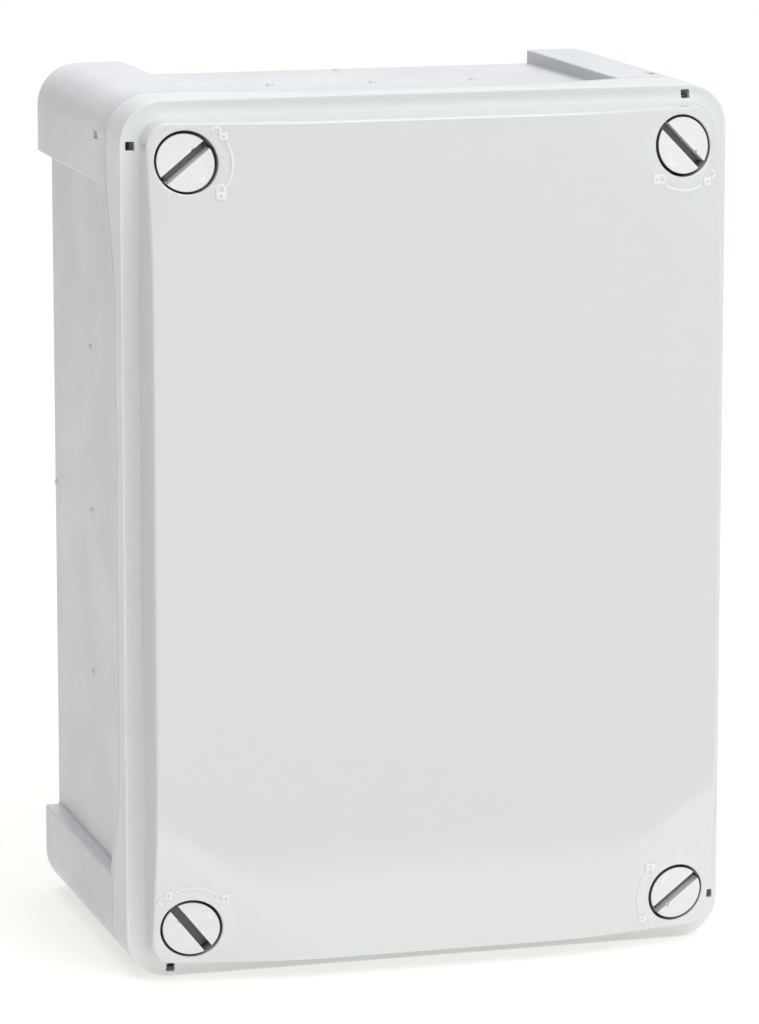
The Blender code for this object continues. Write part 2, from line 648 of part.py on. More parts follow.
def make_terminals(grey, green, datum):
    """A row of feed-through terminals between two earth terminals and two end stops."""
    pitch = TERMINAL_PITCH
    through = terminal_mesh("terminal_blank", grey, pitch - 2 * GAP, datum)
    earth = terminal_mesh("earth_blank", green, pitch - 2 * GAP, datum)
    first = -(TERMINAL_COUNT + 1) / 2 * pitch
    place_mesh("earth_terminal_left", earth, datum, (first, 0, 0))
    for i in range(TERMINAL_COUNT):
        place_mesh(f"terminal_{i + 1}", through, datum, (first + (i + 1) * pitch, 0, 0))
    place_mesh("earth_terminal_right", earth, datum, (-first, 0, 0))

    bm = bmesh.new()
    front = PLATE_FRONT - GAP - RAIL_HEIGHT - END_STOP_DEPTH
    profile = terminal_profile(END_STOP_HEIGHT, END_STOP_DEPTH, END_STOP_STEP, END_STOP_CHAMFER)
    add_profile(bm, profile, -END_STOP_WIDTH / 2, END_STOP_WIDTH / 2, front)
    stop = finish_mesh("end_stop_blank", bm, grey, datum)
    offset = -first + pitch / 2 + END_STOP_WIDTH / 2 + GAP
    for name, sx in (("left", -1), ("right", 1)):
        place_mesh(f"end_stop_{name}", stop.data, datum, (sx * offset, 0, 0))
    bpy.data.objects.remove(stop)


def main():
    """Builds the whole box."""
    for obj in list(bpy.data.objects):
        bpy.data.objects.remove(obj)
    datum = bpy.data.objects.new("box_datum", None)
    bpy.context.collection.objects.link(datum)
    datum.location = (0.0, RIM_Y, HALF_H)

    shell_grey = material("shell_grey", (0.73, 0.75, 0.73), 0.38)
    closure_grey = material("closure_grey", (0.76, 0.76, 0.75), 0.35)
    seal_black = material("seal_foam", (0.03, 0.03, 0.03), 0.8)
    spring_steel = material("spring_steel", (0.55, 0.55, 0.57), 0.35, 1.0)
    zinc_steel = material("zinc_steel", (0.62, 0.63, 0.65), 0.4, 1.0)
    terminal_grey = material("terminal_grey", (0.45, 0.46, 0.45), 0.5)
    earth_green = material("earth_green", (0.25, 0.5, 0.12), 0.5)

    make_base(shell_grey, datum)
    make_lid(shell_grey, datum)
    make_gasket(seal_black, datum)
    make_closures(closure_grey, seal_black, spring_steel, datum)
    make_plate(zinc_steel, datum)
    make_rail(zinc_steel, datum)
    make_terminals(terminal_grey, earth_green, datum)


main()
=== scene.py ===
"""Looks for the electrical junction box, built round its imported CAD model.

Most pieces are drawn in the datum's frame: X to the right, Y depth behind the lid's rim
plane, Z up from mid-height. Lengths are in metres.
"""
from math import asin, atan2, cos, dist, pi, radians, sin, sqrt, tan

import bmesh
import bpy
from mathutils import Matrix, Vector


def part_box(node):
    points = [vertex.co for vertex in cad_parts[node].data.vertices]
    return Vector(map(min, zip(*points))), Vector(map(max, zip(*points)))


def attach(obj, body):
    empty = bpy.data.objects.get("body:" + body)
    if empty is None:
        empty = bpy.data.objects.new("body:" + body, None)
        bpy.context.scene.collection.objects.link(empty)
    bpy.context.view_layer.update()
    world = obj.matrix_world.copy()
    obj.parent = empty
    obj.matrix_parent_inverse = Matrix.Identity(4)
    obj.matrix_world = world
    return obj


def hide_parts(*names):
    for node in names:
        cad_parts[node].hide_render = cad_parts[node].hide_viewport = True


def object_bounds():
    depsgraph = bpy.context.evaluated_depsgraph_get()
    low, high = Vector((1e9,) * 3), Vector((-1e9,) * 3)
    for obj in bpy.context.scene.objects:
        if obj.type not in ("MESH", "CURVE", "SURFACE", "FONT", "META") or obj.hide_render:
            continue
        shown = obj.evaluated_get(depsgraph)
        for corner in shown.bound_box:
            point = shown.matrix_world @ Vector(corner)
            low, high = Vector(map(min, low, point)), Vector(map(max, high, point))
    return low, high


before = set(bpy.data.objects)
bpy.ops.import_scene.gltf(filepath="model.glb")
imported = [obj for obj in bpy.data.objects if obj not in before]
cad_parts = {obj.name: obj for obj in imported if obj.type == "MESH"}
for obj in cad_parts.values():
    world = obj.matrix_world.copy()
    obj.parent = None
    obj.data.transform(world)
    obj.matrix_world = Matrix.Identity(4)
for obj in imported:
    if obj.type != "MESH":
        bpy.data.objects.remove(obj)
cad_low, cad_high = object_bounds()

MM = 0.001
ROUND = 72                    # steps round a closure or its bore
CORNERS = {"top_left": (-1, 1), "top_right": (1, 1), "bottom_right": (1, -1), "bottom_left": (-1, -1)}


# ---- places, from the frame ----
def middle(node):
    """The middle of a CAD node's box."""
    low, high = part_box(node)
    return (low + high) / 2


PANEL_RISE = 19 * MM
PANEL_CROWN = 1 * MM
lid_low, lid_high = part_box("lid")
HALF_W = (lid_high.x - lid_low.x) / 2
HALF_H = (lid_high.z - lid_low.z) / 2
DATUM = Vector((0.0, lid_low.y + PANEL_RISE + PANEL_CROWN, (lid_high.z + lid_low.z) / 2))
CLOSURE_X = abs(middle("closure_top_left").x)
CLOSURE_Z = middle("closure_top_left").z - DATUM.z


def extent(node):
    """A CAD node's half width and half height, and the depths of its front and back."""
    low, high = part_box(node)
    return (high.x - low.x) / 2, (high.z - low.z) / 2, low.y - DATUM.y, high.y - DATUM.y


SKIRT_BACK = extent("lid")[3]
BACK = extent("base")[3]
PLATE_HALF_X, PLATE_HALF_Z, PLATE_FRONT, PLATE_BACK = extent("mounting_plate")

# ---- lid ----
CORNER_RADIUS = 16.5 * MM
LEAST_RADIUS = 4 * MM
SKIRT = 2.5 * MM
RIM_THICKNESS = 2.5 * MM
RIM_EDGE = 0.8 * MM           # rounding of the rim's outer edge
SKIRT_EDGE = 0.35 * MM
COVE_START = 2.2 * MM         # the rim is flat to here, then hollows up to the panel's wall
COVE_RADIUS = 6.6 * MM
PANEL_INSET = 7.7 * MM
PANEL_DRAFT = 0.7 * MM
PANEL_EDGE = 1 * MM
FACET_SLOPE = 0.2
FACET_BLEND = 3 * MM
PART_SIDE = 10.5 * MM         # the parting line's depth along the sides
PART_FLAT = 28 * MM           # it stays deep to here from the corner
PART_EASE = 78 * MM           # and has risen to its side depth by here
PART_GAP = 1.1 * MM           # the seam between skirt and flange
SEAL_HOLE = 3.3 * MM
SEAL_FROM_CORNER = 17 * MM
SEAL_FROM_EDGE = 3.8 * MM
SEAL_SIDE_FRONT = 37.5 * MM
SEAL_SIDE_BACK = 44.5 * MM
SEAL_SIDE_REACH = 1.1 * MM

# ---- closures ----
CLOSURE_RISE = 13.7 * MM      # the facet's height at a closure's axis
BORE_RADIUS = 11.75 * MM
BORE_ROUNDING = 0.5 * MM
BORE_FLOOR = -2.5 * MM
HEAD_RADIUS = 10.7 * MM
HEAD_EDGE = 0.3 * MM
HEAD_DROP = 1 * MM            # how far a head sits below the panel round it
HEAD_UNDERSIDE = -5 * MM
SLOT_WIDTH = 3.5 * MM
SLOT_REACH = 1.3 * HEAD_RADIUS
SLOT_FLOOR = -7.0 * MM
POCKET_LENGTH = 1.3 * MM      # the slot runs right through the head at its two ends
STEM_RADIUS = 5 * MM
STEM_TIP = extent("closure_top_left")[3]
LUG_REACH = 9 * MM
LUG_WIDTH = 5 * MM
LUG_THICKNESS = 4 * MM
CLEARANCE = 0.3 * MM          # round the stem, inside the O-ring and the retaining ring
RING_GAP = radians(32)        # half of the retaining ring's opening
TOOTH = 1.4 * MM              # how far the ring is cut back between its teeth
POINTER_LEG = 4.2 * MM        # the raised triangle on the head
POINTER_CORNER = (7.6 * MM, -7.0 * MM)

# Each head rests a little off true in its bore: its turn in degrees, and its shift in mm.
SEATS = {"top_left": (6, -0.1, -0.2), "top_right": (1, 0.4, 0.05),
         "bottom_right": (7, 0.5, -0.3), "bottom_left": (6, 0.1, -0.2)}

# ---- base ----
POST = 35 * MM
WALL = 3 * MM
RECESS_FRONT = 4.75 * MM
RECESS_BACK = 5.6 * MM
FLANGE = 3 * MM
COLLAR_FRONT = 5.5 * MM
COLLAR_BACK = 27 * MM
COLLAR_INSET = 4.8 * MM
POST_FRONT = 25 * MM
POST_EDGE = 0.8 * MM
BACK_EDGE = 1.2 * MM
BOSS_RADIUS = 5 * MM
THREAD_RADIUS = 2 * MM
FIXING_RADIUS = 3 * MM        # the wall-fixing holes
WELL_WALL = 8 * MM            # thickness of the posts outside their wells
SHELF_FRONT = 15 * MM         # the ledge that the lugs turn under
SHELF_BACK = 18.5 * MM
SHELF_REACH = 10.4 * MM


# ---- node materials ----
def add_node(mat, kind, inputs, **settings):
    """Adds a shader node. An input is a value, or another node's output to link."""
    made = mat.node_tree.nodes.new("ShaderNode" + kind)
    for key, value in settings.items():
        setattr(made, key, value)
    for key, value in inputs.items():
        if isinstance(value, bpy.types.NodeSocket):
            mat.node_tree.links.new(value, made.inputs[key])
        else:
            made.inputs[key].default_value = value
    return made


def blank_material(name):
    """A node material with its Principled shader and object coordinates."""
    mat = bpy.data.materials.new(name)
    mat.use_nodes = True
    shader = mat.node_tree.nodes["Principled BSDF"]
    coordinates = add_node(mat, "TexCoord", {}).outputs["Object"]
    return mat, shader, coordinates


def noise(mat, coordinates, scale, detail=2.0):
    """Noise from 0 to 1 with features of about 1 / scale metres."""
    made = add_node(mat, "TexNoise", {"Vector": coordinates, "Scale": scale, "Detail": detail})
    return made.outputs["Fac"]


def spread(mat, value, low, high, near=0.35, far=0.65):
    """Stretches a range, a texture's middle unless told otherwise, to run from low to high."""
    made = add_node(mat, "MapRange", {
        "Value": value, "From Min": near, "From Max": far, "To Min": low, "To Max": high})
    return made.outputs["Result"]


def blend_colours(mat, factor, first, second):
    """Mixes two colours, or links, by a factor."""
    made = add_node(mat, "Mix", {}, data_type="RGBA")
    sockets = [s for s in made.inputs if s.enabled]
    for socket, value in zip(sockets, (factor, first, second)):
        if isinstance(value, bpy.types.NodeSocket):
            mat.node_tree.links.new(value, socket)
        else:
            socket.default_value = value
    return [s for s in made.outputs if s.enabled][0]


def shade(colour, amount):
    """A colour made lighter or darker, with alpha."""
    return tuple(c * amount for c in colour) + (1.0,)


def link(mat, output, shader, name):
    """Links an output to one of a shader's inputs."""
    mat.node_tree.links.new(output, shader.inputs[name])


def bump(mat, shader, height, depth, strength=1.0):
    """Gives the surface relief from a texture."""
    made = add_node(mat, "Bump", {"Height": height, "Strength": strength, "Distance": depth})
    link(mat, made.outputs["Normal"], shader, "Normal")


def plastic(name, colour, roughness, speckle, edge_highlight, grain=0.4 * MM, depth=0.003 * MM, index=1.5):
    """Moulded plastic: eroded-mould grain, cloudy gloss, edges polished by handling, and a painted
    highlight that lightens the edges.
    """
    mat, shader, coordinates = blank_material(name)
    fine = noise(mat, coordinates, 1 / grain, 3.0)
    cloud = noise(mat, coordinates, 28.0)
    flecked = blend_colours(mat, spread(mat, fine, 0.0, 1.0), shade(colour, 1 - speckle),
                            shade(colour, 1 + speckle))
    clouded = blend_colours(mat, spread(mat, cloud, 0.0, 0.35), flecked, shade(colour, 1.0 - speckle))
    pointy = add_node(mat, "NewGeometry", {}).outputs["Pointiness"]
    edges = spread(mat, pointy, 0.0, 1.0, 0.51, 0.57)
    # painted highlight: the colour is made lighter along convex edges
    edge_lit = blend_colours(mat, edges, clouded, shade(colour, 1 + edge_highlight))
    link(mat, edge_lit, shader, "Base Color")
    gloss = spread(mat, cloud, roughness * 0.88, roughness * 1.12)
    rubbed = add_node(mat, "MapRange", {"Value": edges, "To Min": 1.0, "To Max": 0.8}).outputs["Result"]
    product = add_node(mat, "Math", {0: gloss, 1: rubbed}, operation="MULTIPLY").outputs["Value"]
    link(mat, product, shader, "Roughness")
    bump(mat, shader, fine, depth)
    shader.inputs["IOR"].default_value = index
    return mat


def steel(name, colour, roughness, spangle=4 * MM, grain=0.12 * MM):
    """Zinc-plated steel: soft crystal spangle, rolling marks and brighter edges."""
    mat, shader, coordinates = blank_material(name)
    stretched = add_node(mat, "Mapping", {"Vector": coordinates, "Scale": (1.0, 1.0, 14.0)})
    marks = noise(mat, stretched.outputs["Vector"], 0.1 / grain, 4.0)
    crystal = add_node(mat, "TexVoronoi", {"Vector": coordinates, "Scale": 1 / spangle})
    tone = spread(mat, crystal.outputs["Distance"], 0.0, 0.5, 0.0, 0.8)
    base = blend_colours(mat, tone, shade(colour, 1.06), shade(colour, 0.86))
    streaked = blend_colours(mat, spread(mat, marks, 0.0, 0.25), base, shade(colour, 0.78))
    pointy = add_node(mat, "NewGeometry", {}).outputs["Pointiness"]
    edges = spread(mat, pointy, 0.0, 1.0, 0.52, 0.62)
    link(mat, blend_colours(mat, edges, streaked, shade(colour, 1.2)), shader, "Base Color")
    link(mat, spread(mat, marks, roughness * 0.8, roughness * 1.25), shader, "Roughness")
    bump(mat, shader, marks, 0.01 * MM, 0.5)
    shader.inputs["Metallic"].default_value = 1.0
    return mat


def rubber(name, colour, pore, depth):
    """Cellular foam or matt rubber, with pores of one size."""
    mat, shader, coordinates = blank_material(name)
    cells = add_node(mat, "TexVoronoi", {"Vector": coordinates, "Scale": 1 / pore})
    cloud = noise(mat, coordinates, 90.0)
    tone = spread(mat, cells.outputs["Distance"], 0.0, 1.0, 0.1, 0.7)
    link(mat, blend_colours(mat, tone, shade(colour, 0.6), shade(colour, 1.25)), shader, "Base Color")
    link(mat, spread(mat, cloud, 0.6, 0.85), shader, "Roughness")
    bump(mat, shader, cells.outputs["Distance"], depth)
    return mat


LID_GREY = (0.725, 0.748, 0.738)
RIM_GREY = (0.755, 0.78, 0.768)
BASE_GREY = (0.704, 0.717, 0.74)
CLOSURE_GREY = (0.8, 0.815, 0.805)
MARK_GREY = (0.8, 0.81, 0.79)
# The fifth number of each plastic is how much lighter its edges are painted, as a highlight.
finishes = {
    "panel": plastic("panel_polish", LID_GREY, 0.14, 0.006, 0.12, 0.5 * MM, 0.0004 * MM, 1.7),
    "rim": plastic("rim_texture", RIM_GREY, 0.4, 0.02, 0.12, depth=0.004 * MM),
    "shell": plastic("shell_texture", BASE_GREY, 0.42, 0.07, 0.01, 0.7 * MM, 0.012 * MM),
    "closure": plastic("closure_plastic", CLOSURE_GREY, 0.3, 0.01, 0.08),
    # painted shade: near black on the slot's floor and the head's side, for the shadow down the slot and in
    # the gap round the head
    "slot": plastic("painted_shade_slot_and_head_side", (0.18, 0.19, 0.18), 0.5, 0.03, 0.1),
    # painted shade: a darker grey on the bores' walls and floors, for the shadow in the gap round each head
    "bore": plastic("bore_wall_painted_shade", (0.46, 0.45, 0.42), 0.4, 0.03, 0.02),
    "mark": plastic("mark_texture", MARK_GREY, 0.5, 0.01, 0.04, 0.3 * MM),
    "terminal": plastic("terminal_polyamide", (0.36, 0.37, 0.36), 0.45, 0.03, 0.2, 0.25 * MM, 0.006 * MM),
    "earth": plastic("earth_polyamide", (0.2, 0.42, 0.06), 0.45, 0.03, 0.2, 0.25 * MM, 0.006 * MM),
    "marker": plastic("marker_card", (0.82, 0.82, 0.79), 0.55, 0.01, 0.05, 0.2 * MM),
    "zinc": steel("zinc_plate", (0.62, 0.63, 0.65), 0.36),
    "screw": steel("zinc_screw", (0.66, 0.65, 0.6), 0.28, 1 * MM, 0.08 * MM),
    "spring": steel("spring_steel", (0.42, 0.43, 0.46), 0.3, 1 * MM, 0.08 * MM),
    "foam": rubber("seal_foam", (0.05, 0.05, 0.052), 0.5 * MM, 0.08 * MM),
    "rubber": rubber("seal_rubber", (0.03, 0.03, 0.032), 0.15 * MM, 0.01 * MM),
}


# ---- outlines ----
def arc(x, z, radius, start, sweep, steps):
    """Points along an arc about (x, z)."""
    angles = [start + sweep * i / steps for i in range(steps + 1)]
    return [(x + radius * cos(a), z + radius * sin(a)) for a in angles]


def fillet(corners, steps):
    """Rounds a closed polygon of (x, z, radius) corners."""
    points = []
    count = len(corners)
    for i, (x, z, radius) in enumerate(corners):
        here = Vector((x, z))
        back = (Vector(corners[i - 1][:2]) - here).normalized()
        on = (Vector(corners[(i + 1) % count][:2]) - here).normalized()
        half = back.angle(on) / 2
        centre = here + (back + on).normalized() * radius / sin(half)
        first = here + back * radius / tan(half) - centre
        last = here + on * radius / tan(half) - centre
        start = atan2(first.y, first.x)
        sweep = (atan2(last.y, last.x) - start + pi) % (2 * pi) - pi
        points += arc(centre.x, centre.y, radius, start, sweep, steps)
    return points


def mirrored(quarter):
    """Mirrors the first quadrant's points into a whole outline, anticlockwise."""
    second = [(-p[0], *p[1:]) for p in reversed(quarter)]
    third = [(-p[0], -p[1], *p[2:]) for p in quarter]
    fourth = [(p[0], -p[1], *p[2:]) for p in reversed(quarter)]
    return quarter + second + third + fourth


def straight(first, last, steps):
    """Points from the first towards the last, without the last."""
    return [(first[0] + (last[0] - first[0]) * i / steps, first[1] + (last[1] - first[1]) * i / steps)
            for i in range(steps)]


def divided(points, longest):
    """Adds points along an outline's long straight runs."""
    out = []
    for here, following in zip(points, points[1:] + points[:1]):
        out += straight(here, following, max(1, round(dist(here, following) / longest)))
    return out


def circle(x, z, radius, steps):
    """Points round (x, z)."""
    return arc(x, z, radius, 0.0, 2 * pi, steps)[:-1]


def rectangle(x0, x1, z0, z1, radius, steps=4):
    """A rounded rectangle from its sides."""
    return fillet([(x1, z0, radius), (x1, z1, radius), (x0, z1, radius), (x0, z0, radius)], steps)


def square(x, z, half, radius):
    """A rounded square about (x, z)."""
    return rectangle(x - half, x + half, z - half, z + half, radius)


SIDE_STEPS = (40, 56)
ARC_STEPS = 10


def lid_outline(inset):
    """The lid's outline drawn in by an inset, always with the same number of points."""
    radius = max(CORNER_RADIUS - inset, LEAST_RADIUS)
    half_x, half_z = HALF_W - inset, HALF_H - inset
    arcs = fillet(mirrored([(half_x, half_z, radius)]), ARC_STEPS)
    points = []
    for side in range(4):
        corner = arcs[side * (ARC_STEPS + 1):(side + 1) * (ARC_STEPS + 1)]
        following = arcs[(side + 1) * (ARC_STEPS + 1) % len(arcs)]
        points += corner + straight(corner[-1], following, SIDE_STEPS[side % 2])[1:]
    return points


def posted_outline(recess, shrink):
    """The base's section: recessed walls between four corner posts, all drawn in by shrink."""
    wall_x, wall_z = HALF_W - recess - shrink, HALF_H - recess - shrink
    side_x, side_z = HALF_W - POST + shrink, HALF_H - POST + shrink
    out_x, out_z = HALF_W - shrink, HALF_H - shrink
    quarter = [(wall_x, side_z, POST_EDGE), (out_x, side_z, POST_EDGE),
               (out_x, out_z, CORNER_RADIUS - shrink), (side_x, out_z, POST_EDGE),
               (side_x, wall_z, POST_EDGE)]
    return fillet(mirrored(quarter), 10)


def notched_outline(half_x, half_z, notch_x, notch_z, radius):
    """A rectangle with a square notch cut from each corner, rounded."""
    quarter = [(half_x, notch_z, radius), (notch_x, notch_z, radius), (notch_x, half_z, radius)]
    return fillet(mirrored(quarter), 4)


def corner_point(corner, along, inward):
    """A point near a corner, on the side that follows it anticlockwise in the turning pattern."""
    sx, sz = CORNERS[corner]
    if corner in ("top_left", "bottom_right"):
        return sx * (HALF_W - inward), sz * (HALF_H - along)
    return sx * (HALF_W - along), sz * (HALF_H - inward)


# ---- shared curves ----
def ease(t):
    """Smooth step from 0 to 1."""
    t = min(max(t, 0.0), 1.0)
    return t * t * (3 - 2 * t)


def mix(a, b, t):
    """Straight blend from a to b."""
    return a + (b - a) * t


def quarter_turn(steps):
    """Sine and cosine pairs from 0 to 90 degrees."""
    angles = [pi / 2 * i / steps for i in range(steps + 1)]
    return [(sin(a), cos(a)) for a in angles]


def parting_depth(x, z):
    """Depth of the skirt's edge: deep round the corners, shallow along the sides."""
    along = max(HALF_W - abs(x), HALF_H - abs(z))
    t = ease((along - PART_FLAT) / (PART_EASE - PART_FLAT))
    return mix(SKIRT_BACK, PART_SIDE, t)


def panel_height(x, z):
    """Height of the raised panel over the rim plane: a crown with sloping corner facets."""
    crown = (1 - (x / HALF_W) ** 2) * (1 - (z / HALF_H) ** 2)
    top = PANEL_RISE + PANEL_CROWN * crown
    facet = CLOSURE_RISE + FACET_SLOPE * (CLOSURE_X - abs(x) + CLOSURE_Z - abs(z))
    t = min(max(0.5 + 0.5 * (facet - top) / FACET_BLEND, 0.0), 1.0)
    return mix(facet, top, t) - FACET_BLEND * t * (1 - t)


def cove_height(inset):
    """Height of the rim over its plane: an arc that ends in a crease at the panel's wall."""
    over = min(max(inset, COVE_START), PANEL_INSET - PANEL_DRAFT) - COVE_START
    return COVE_RADIUS - sqrt(COVE_RADIUS ** 2 - over ** 2)


def rim_height(x, z):
    """Height of the rim at a point along its straight sides."""
    return cove_height(min(HALF_W - abs(x), HALF_H - abs(z)))


# ---- mesh helpers ----
def loft(bm, loops, ring=False, finish_of=None, cap_finish=0):
    """Bridges loops of equal length; capped at both ends, or closed on itself as a ring."""
    rows = [[bm.verts.new(point) for point in loop] for loop in loops]
    pairs = list(zip(rows, rows[1:]))
    if ring:
        pairs.append((rows[-1], rows[0]))
    else:
        bm.faces.new(rows[0])
        bm.faces.new(rows[-1]).material_index = cap_finish
    for k, (near, far) in enumerate(pairs):
        count = len(near)
        for i in range(count):
            j = (i + 1) % count
            face = bm.faces.new((near[i], near[j], far[j], far[i]))
            face.material_index = finish_of(k) if finish_of else 0


def at(outline, depth):
    """Lifts an (x, z) outline to a depth, which is a number or a function of (x, z)."""
    return [(x, depth(x, z) if callable(depth) else depth, z) for x, z in outline]


def prism(bm, outline, front, back):
    """Adds an outline extruded along Y."""
    loft(bm, [at(outline, front), at(outline, back)])


def revolve(bm, profile, steps, ring=False):
    """Turns (radius, depth) points about Y."""
    loft(bm, [at(circle(0, 0, radius, steps), depth) for radius, depth in profile], ring)


def flared(bm, outline, surface, rounding, floor, floor_finish=0, wall_finish=0):
    """Adds a cutter whose mouth flares to round the hole's edge; outline takes an outset.

    The flare starts a hair below the surface, so that the cutter meets it squarely.
    """
    lip = 0.03 * MM
    loops = [at(outline(rounding), lambda x, z: -surface(x, z) - 3 * MM)]
    for sine, cosine in quarter_turn(4):
        down = lip + rounding * (1 - cosine)
        loops.append(at(outline(rounding * (1 - sine)), lambda x, z, d=down: d - surface(x, z)))
    wall = len(loops) - 1
    loops.append(at(outline(0.0), floor))
    loft(bm, loops, finish_of=lambda k: wall_finish if k == wall else 0, cap_finish=floor_finish)


def add_object(name, data):
    """Puts data in the scene as an object."""
    obj = bpy.data.objects.new(name, data)
    bpy.context.scene.collection.objects.link(obj)
    return obj


def round_hole(bm, x, z, radius, steps, *mouth):
    """Adds a round cutter with a flared mouth."""
    flared(bm, lambda out: circle(x, z, radius + out, steps), *mouth)


def mesh_of(name, bm):
    """Turns a bmesh into a mesh with its faces pointing out."""
    bmesh.ops.recalc_face_normals(bm, faces=bm.faces)
    mesh = bpy.data.meshes.new(name)
    bm.to_mesh(mesh)
    bm.free()
    return mesh


def carved(mesh, steps, tangled=False):
    """Applies exact Booleans in order; steps are (operation, bmesh) pairs.

    A tangled mesh is one whose faces may cross each other: slower to cut.
    """
    blank = add_object("blank", mesh)
    tools = []
    for operation, bm in steps:
        tool = add_object("tool", mesh_of("tool", bm))
        modifier = blank.modifiers.new(operation, "BOOLEAN")
        modifier.operation = operation
        modifier.object = tool
        modifier.use_self = tangled
        tools.append(tool)
    bpy.context.view_layer.update()
    graph = bpy.context.evaluated_depsgraph_get()
    result = bpy.data.meshes.new_from_object(blank.evaluated_get(graph))
    for scrap in (blank, *tools):
        bpy.data.objects.remove(scrap)
    result.name = mesh.name
    return result


def piece(name, mesh, names, body, slot, replaces=(), at_point=(0, 0, 0), turn=0.0, corner_angle=32):
    """Puts a mesh in the scene as one piece that rides on a CAD body; names are its finishes.

    Round faces are shaded smooth, and edges sharper than the corner angle stay crisp.
    """
    if not mesh.materials:
        for finish in names.split():
            mesh.materials.append(finishes[finish])
        mesh.shade_smooth()
        mesh.set_sharp_from_angle(angle=radians(corner_angle))
    obj = add_object(name, mesh)
    obj.location = DATUM + Vector(at_point)
    obj.rotation_euler = (0.0, turn, 0.0)
    weighted = obj.modifiers.new("flat_faces_lead", "WEIGHTED_NORMAL")
    weighted.keep_sharp = True
    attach(obj, body)
    if replaces:
        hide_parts(*replaces)


# ---- lid ----
def lid_loops():
    """The lid's loops, from the middle of the panel over its edge, rim and skirt to the inside."""
    loops = []

    def add(inset, depth, share=1.0):
        loops.append(at([(x * share, z * share) for x, z in lid_outline(inset)], depth))

    rings = 56
    for ring in range(rings):
        add(PANEL_INSET + PANEL_EDGE, lambda x, z: -panel_height(x, z), (ring + 0.5) / rings)
    for sine, cosine in reversed(quarter_turn(5)):
        add(PANEL_INSET + PANEL_EDGE * (1 - cosine),
            lambda x, z, s=sine: PANEL_EDGE * (1 - s) - panel_height(x, z))
    foot = PANEL_INSET - PANEL_DRAFT
    crease = cove_height(foot)
    for t in (0.33, 0.67, 1.0):
        add(mix(PANEL_INSET, foot, t),
            lambda x, z, t=t: -mix(panel_height(x, z) - PANEL_EDGE, crease, t))
    panel_end = len(loops)
    steps = 10
    for i in range(1, steps + 1):
        inset = mix(foot, COVE_START, i / steps)
        add(inset, -cove_height(inset))
    add(RIM_EDGE + 0.4 * MM, 0.0)
    for sine, cosine in quarter_turn(5):
        add(RIM_EDGE * (1 - sine), RIM_EDGE * (1 - cosine))
    for t in (0.1, 0.5, 0.9):
        add(0.0, lambda x, z, t=t: mix(RIM_EDGE, parting_depth(x, z) - SKIRT_EDGE, t))
    for sine, cosine in quarter_turn(3):
        add(SKIRT_EDGE * (1 - cosine), lambda x, z, s=sine: parting_depth(x, z) - SKIRT_EDGE * (1 - s))
    add(SKIRT, parting_depth)
    add(SKIRT, RIM_THICKNESS)
    add(PANEL_INSET + SKIRT, RIM_THICKNESS)
    rings = 16
    for ring in range(rings, 0, -1):
        add(PANEL_INSET + SKIRT, lambda x, z: SKIRT - panel_height(x, z), (ring - 0.5) / (rings - 0.5))
    return loops, panel_end


def make_lid():
    """The lid: polished panel, grained rim and skirt, bores with rounded mouths and painted shade on their
    walls and floors.
    """
    shell = bmesh.new()
    loops, panel_end = lid_loops()
    loft(shell, loops, finish_of=lambda k: 0 if k < panel_end else 1)

    blocks = bmesh.new()
    reach = PANEL_INSET + 1 * MM
    side = (POST - reach) / 2
    for sx, sz in CORNERS.values():
        x, z = sx * (HALF_W - reach - side), sz * (HALF_H - reach - side)
        block = square(x, z, side, 7 * MM)
        loft(blocks, [at(block, lambda x, z: SKIRT / 2 - panel_height(x, z)), at(block, RIM_THICKNESS)])
    ribs = bmesh.new()
    rib_half = 0.9 * MM
    rib_z = HALF_H - POST + 4 * MM
    for sz in (-1, 1):
        outline = divided(rectangle(POST - HALF_W, HALF_W - POST, sz * rib_z - rib_half,
                                    sz * rib_z + rib_half, 0.4 * MM), 8 * MM)
        loft(ribs, [at(outline, lambda x, z: SKIRT / 2 - panel_height(x, z)), at(outline, -PANEL_RISE / 2)])

    bores = bmesh.new()
    holes = bmesh.new()
    for corner, (sx, sz) in CORNERS.items():
        x, z = sx * CLOSURE_X, sz * CLOSURE_Z
        # each bore's straight wall and its floor take the painted shade finish
        round_hole(bores, x, z, BORE_RADIUS, ROUND, panel_height, BORE_ROUNDING, BORE_FLOOR, 2, 2)
        prism(holes, circle(x, z, STEM_RADIUS + 0.4 * MM, 48), BORE_FLOOR - 1 * MM, 2 * RIM_THICKNESS)
        x, z = corner_point(corner, SEAL_FROM_CORNER, SEAL_FROM_EDGE)
        half = SEAL_HOLE / 2
        flared(holes, lambda out, x=x, z=z: square(x, z, half + out, 0.45 * MM + out),
               rim_height, 0.25 * MM, 2 * RIM_THICKNESS)
    mesh = carved(mesh_of("lid_shell", shell), [
        ("UNION", blocks), ("UNION", ribs), ("DIFFERENCE", bores), ("DIFFERENCE", holes)], tangled=True)
    piece("lid_shell", mesh, "panel rim bore", "lid_body", "shell_grey", ["lid"])


# ---- raised marks round each closure ----
MARK_HEIGHT = 0.4 * MM
STROKE = 1.15 * MM
ARC_RADIUS = 16.8 * MM
ARC_MIDDLE = radians(-3)
ARC_HALF = radians(26)
LOCKED = (12.1 * MM, -12.3 * MM)      # the closed padlock's body, from the closure's axis
UNLOCKED = (14.0 * MM, 9.4 * MM)      # the open padlock's body
PADLOCK_HALF = 2.0 * MM


def on_panel(corner, lift):
    """Maps the top left pattern's plan points to another corner, lifted off the panel."""
    sx, sz = CORNERS[corner]
    turn = list(CORNERS).index(corner) * pi / 2

    def place(u, v, up):
        x = sx * CLOSURE_X + u * cos(turn) + v * sin(turn)
        z = sz * CLOSURE_Z - u * sin(turn) + v * cos(turn)
        return (x, -panel_height(x, z) - up * lift, z)
    return place


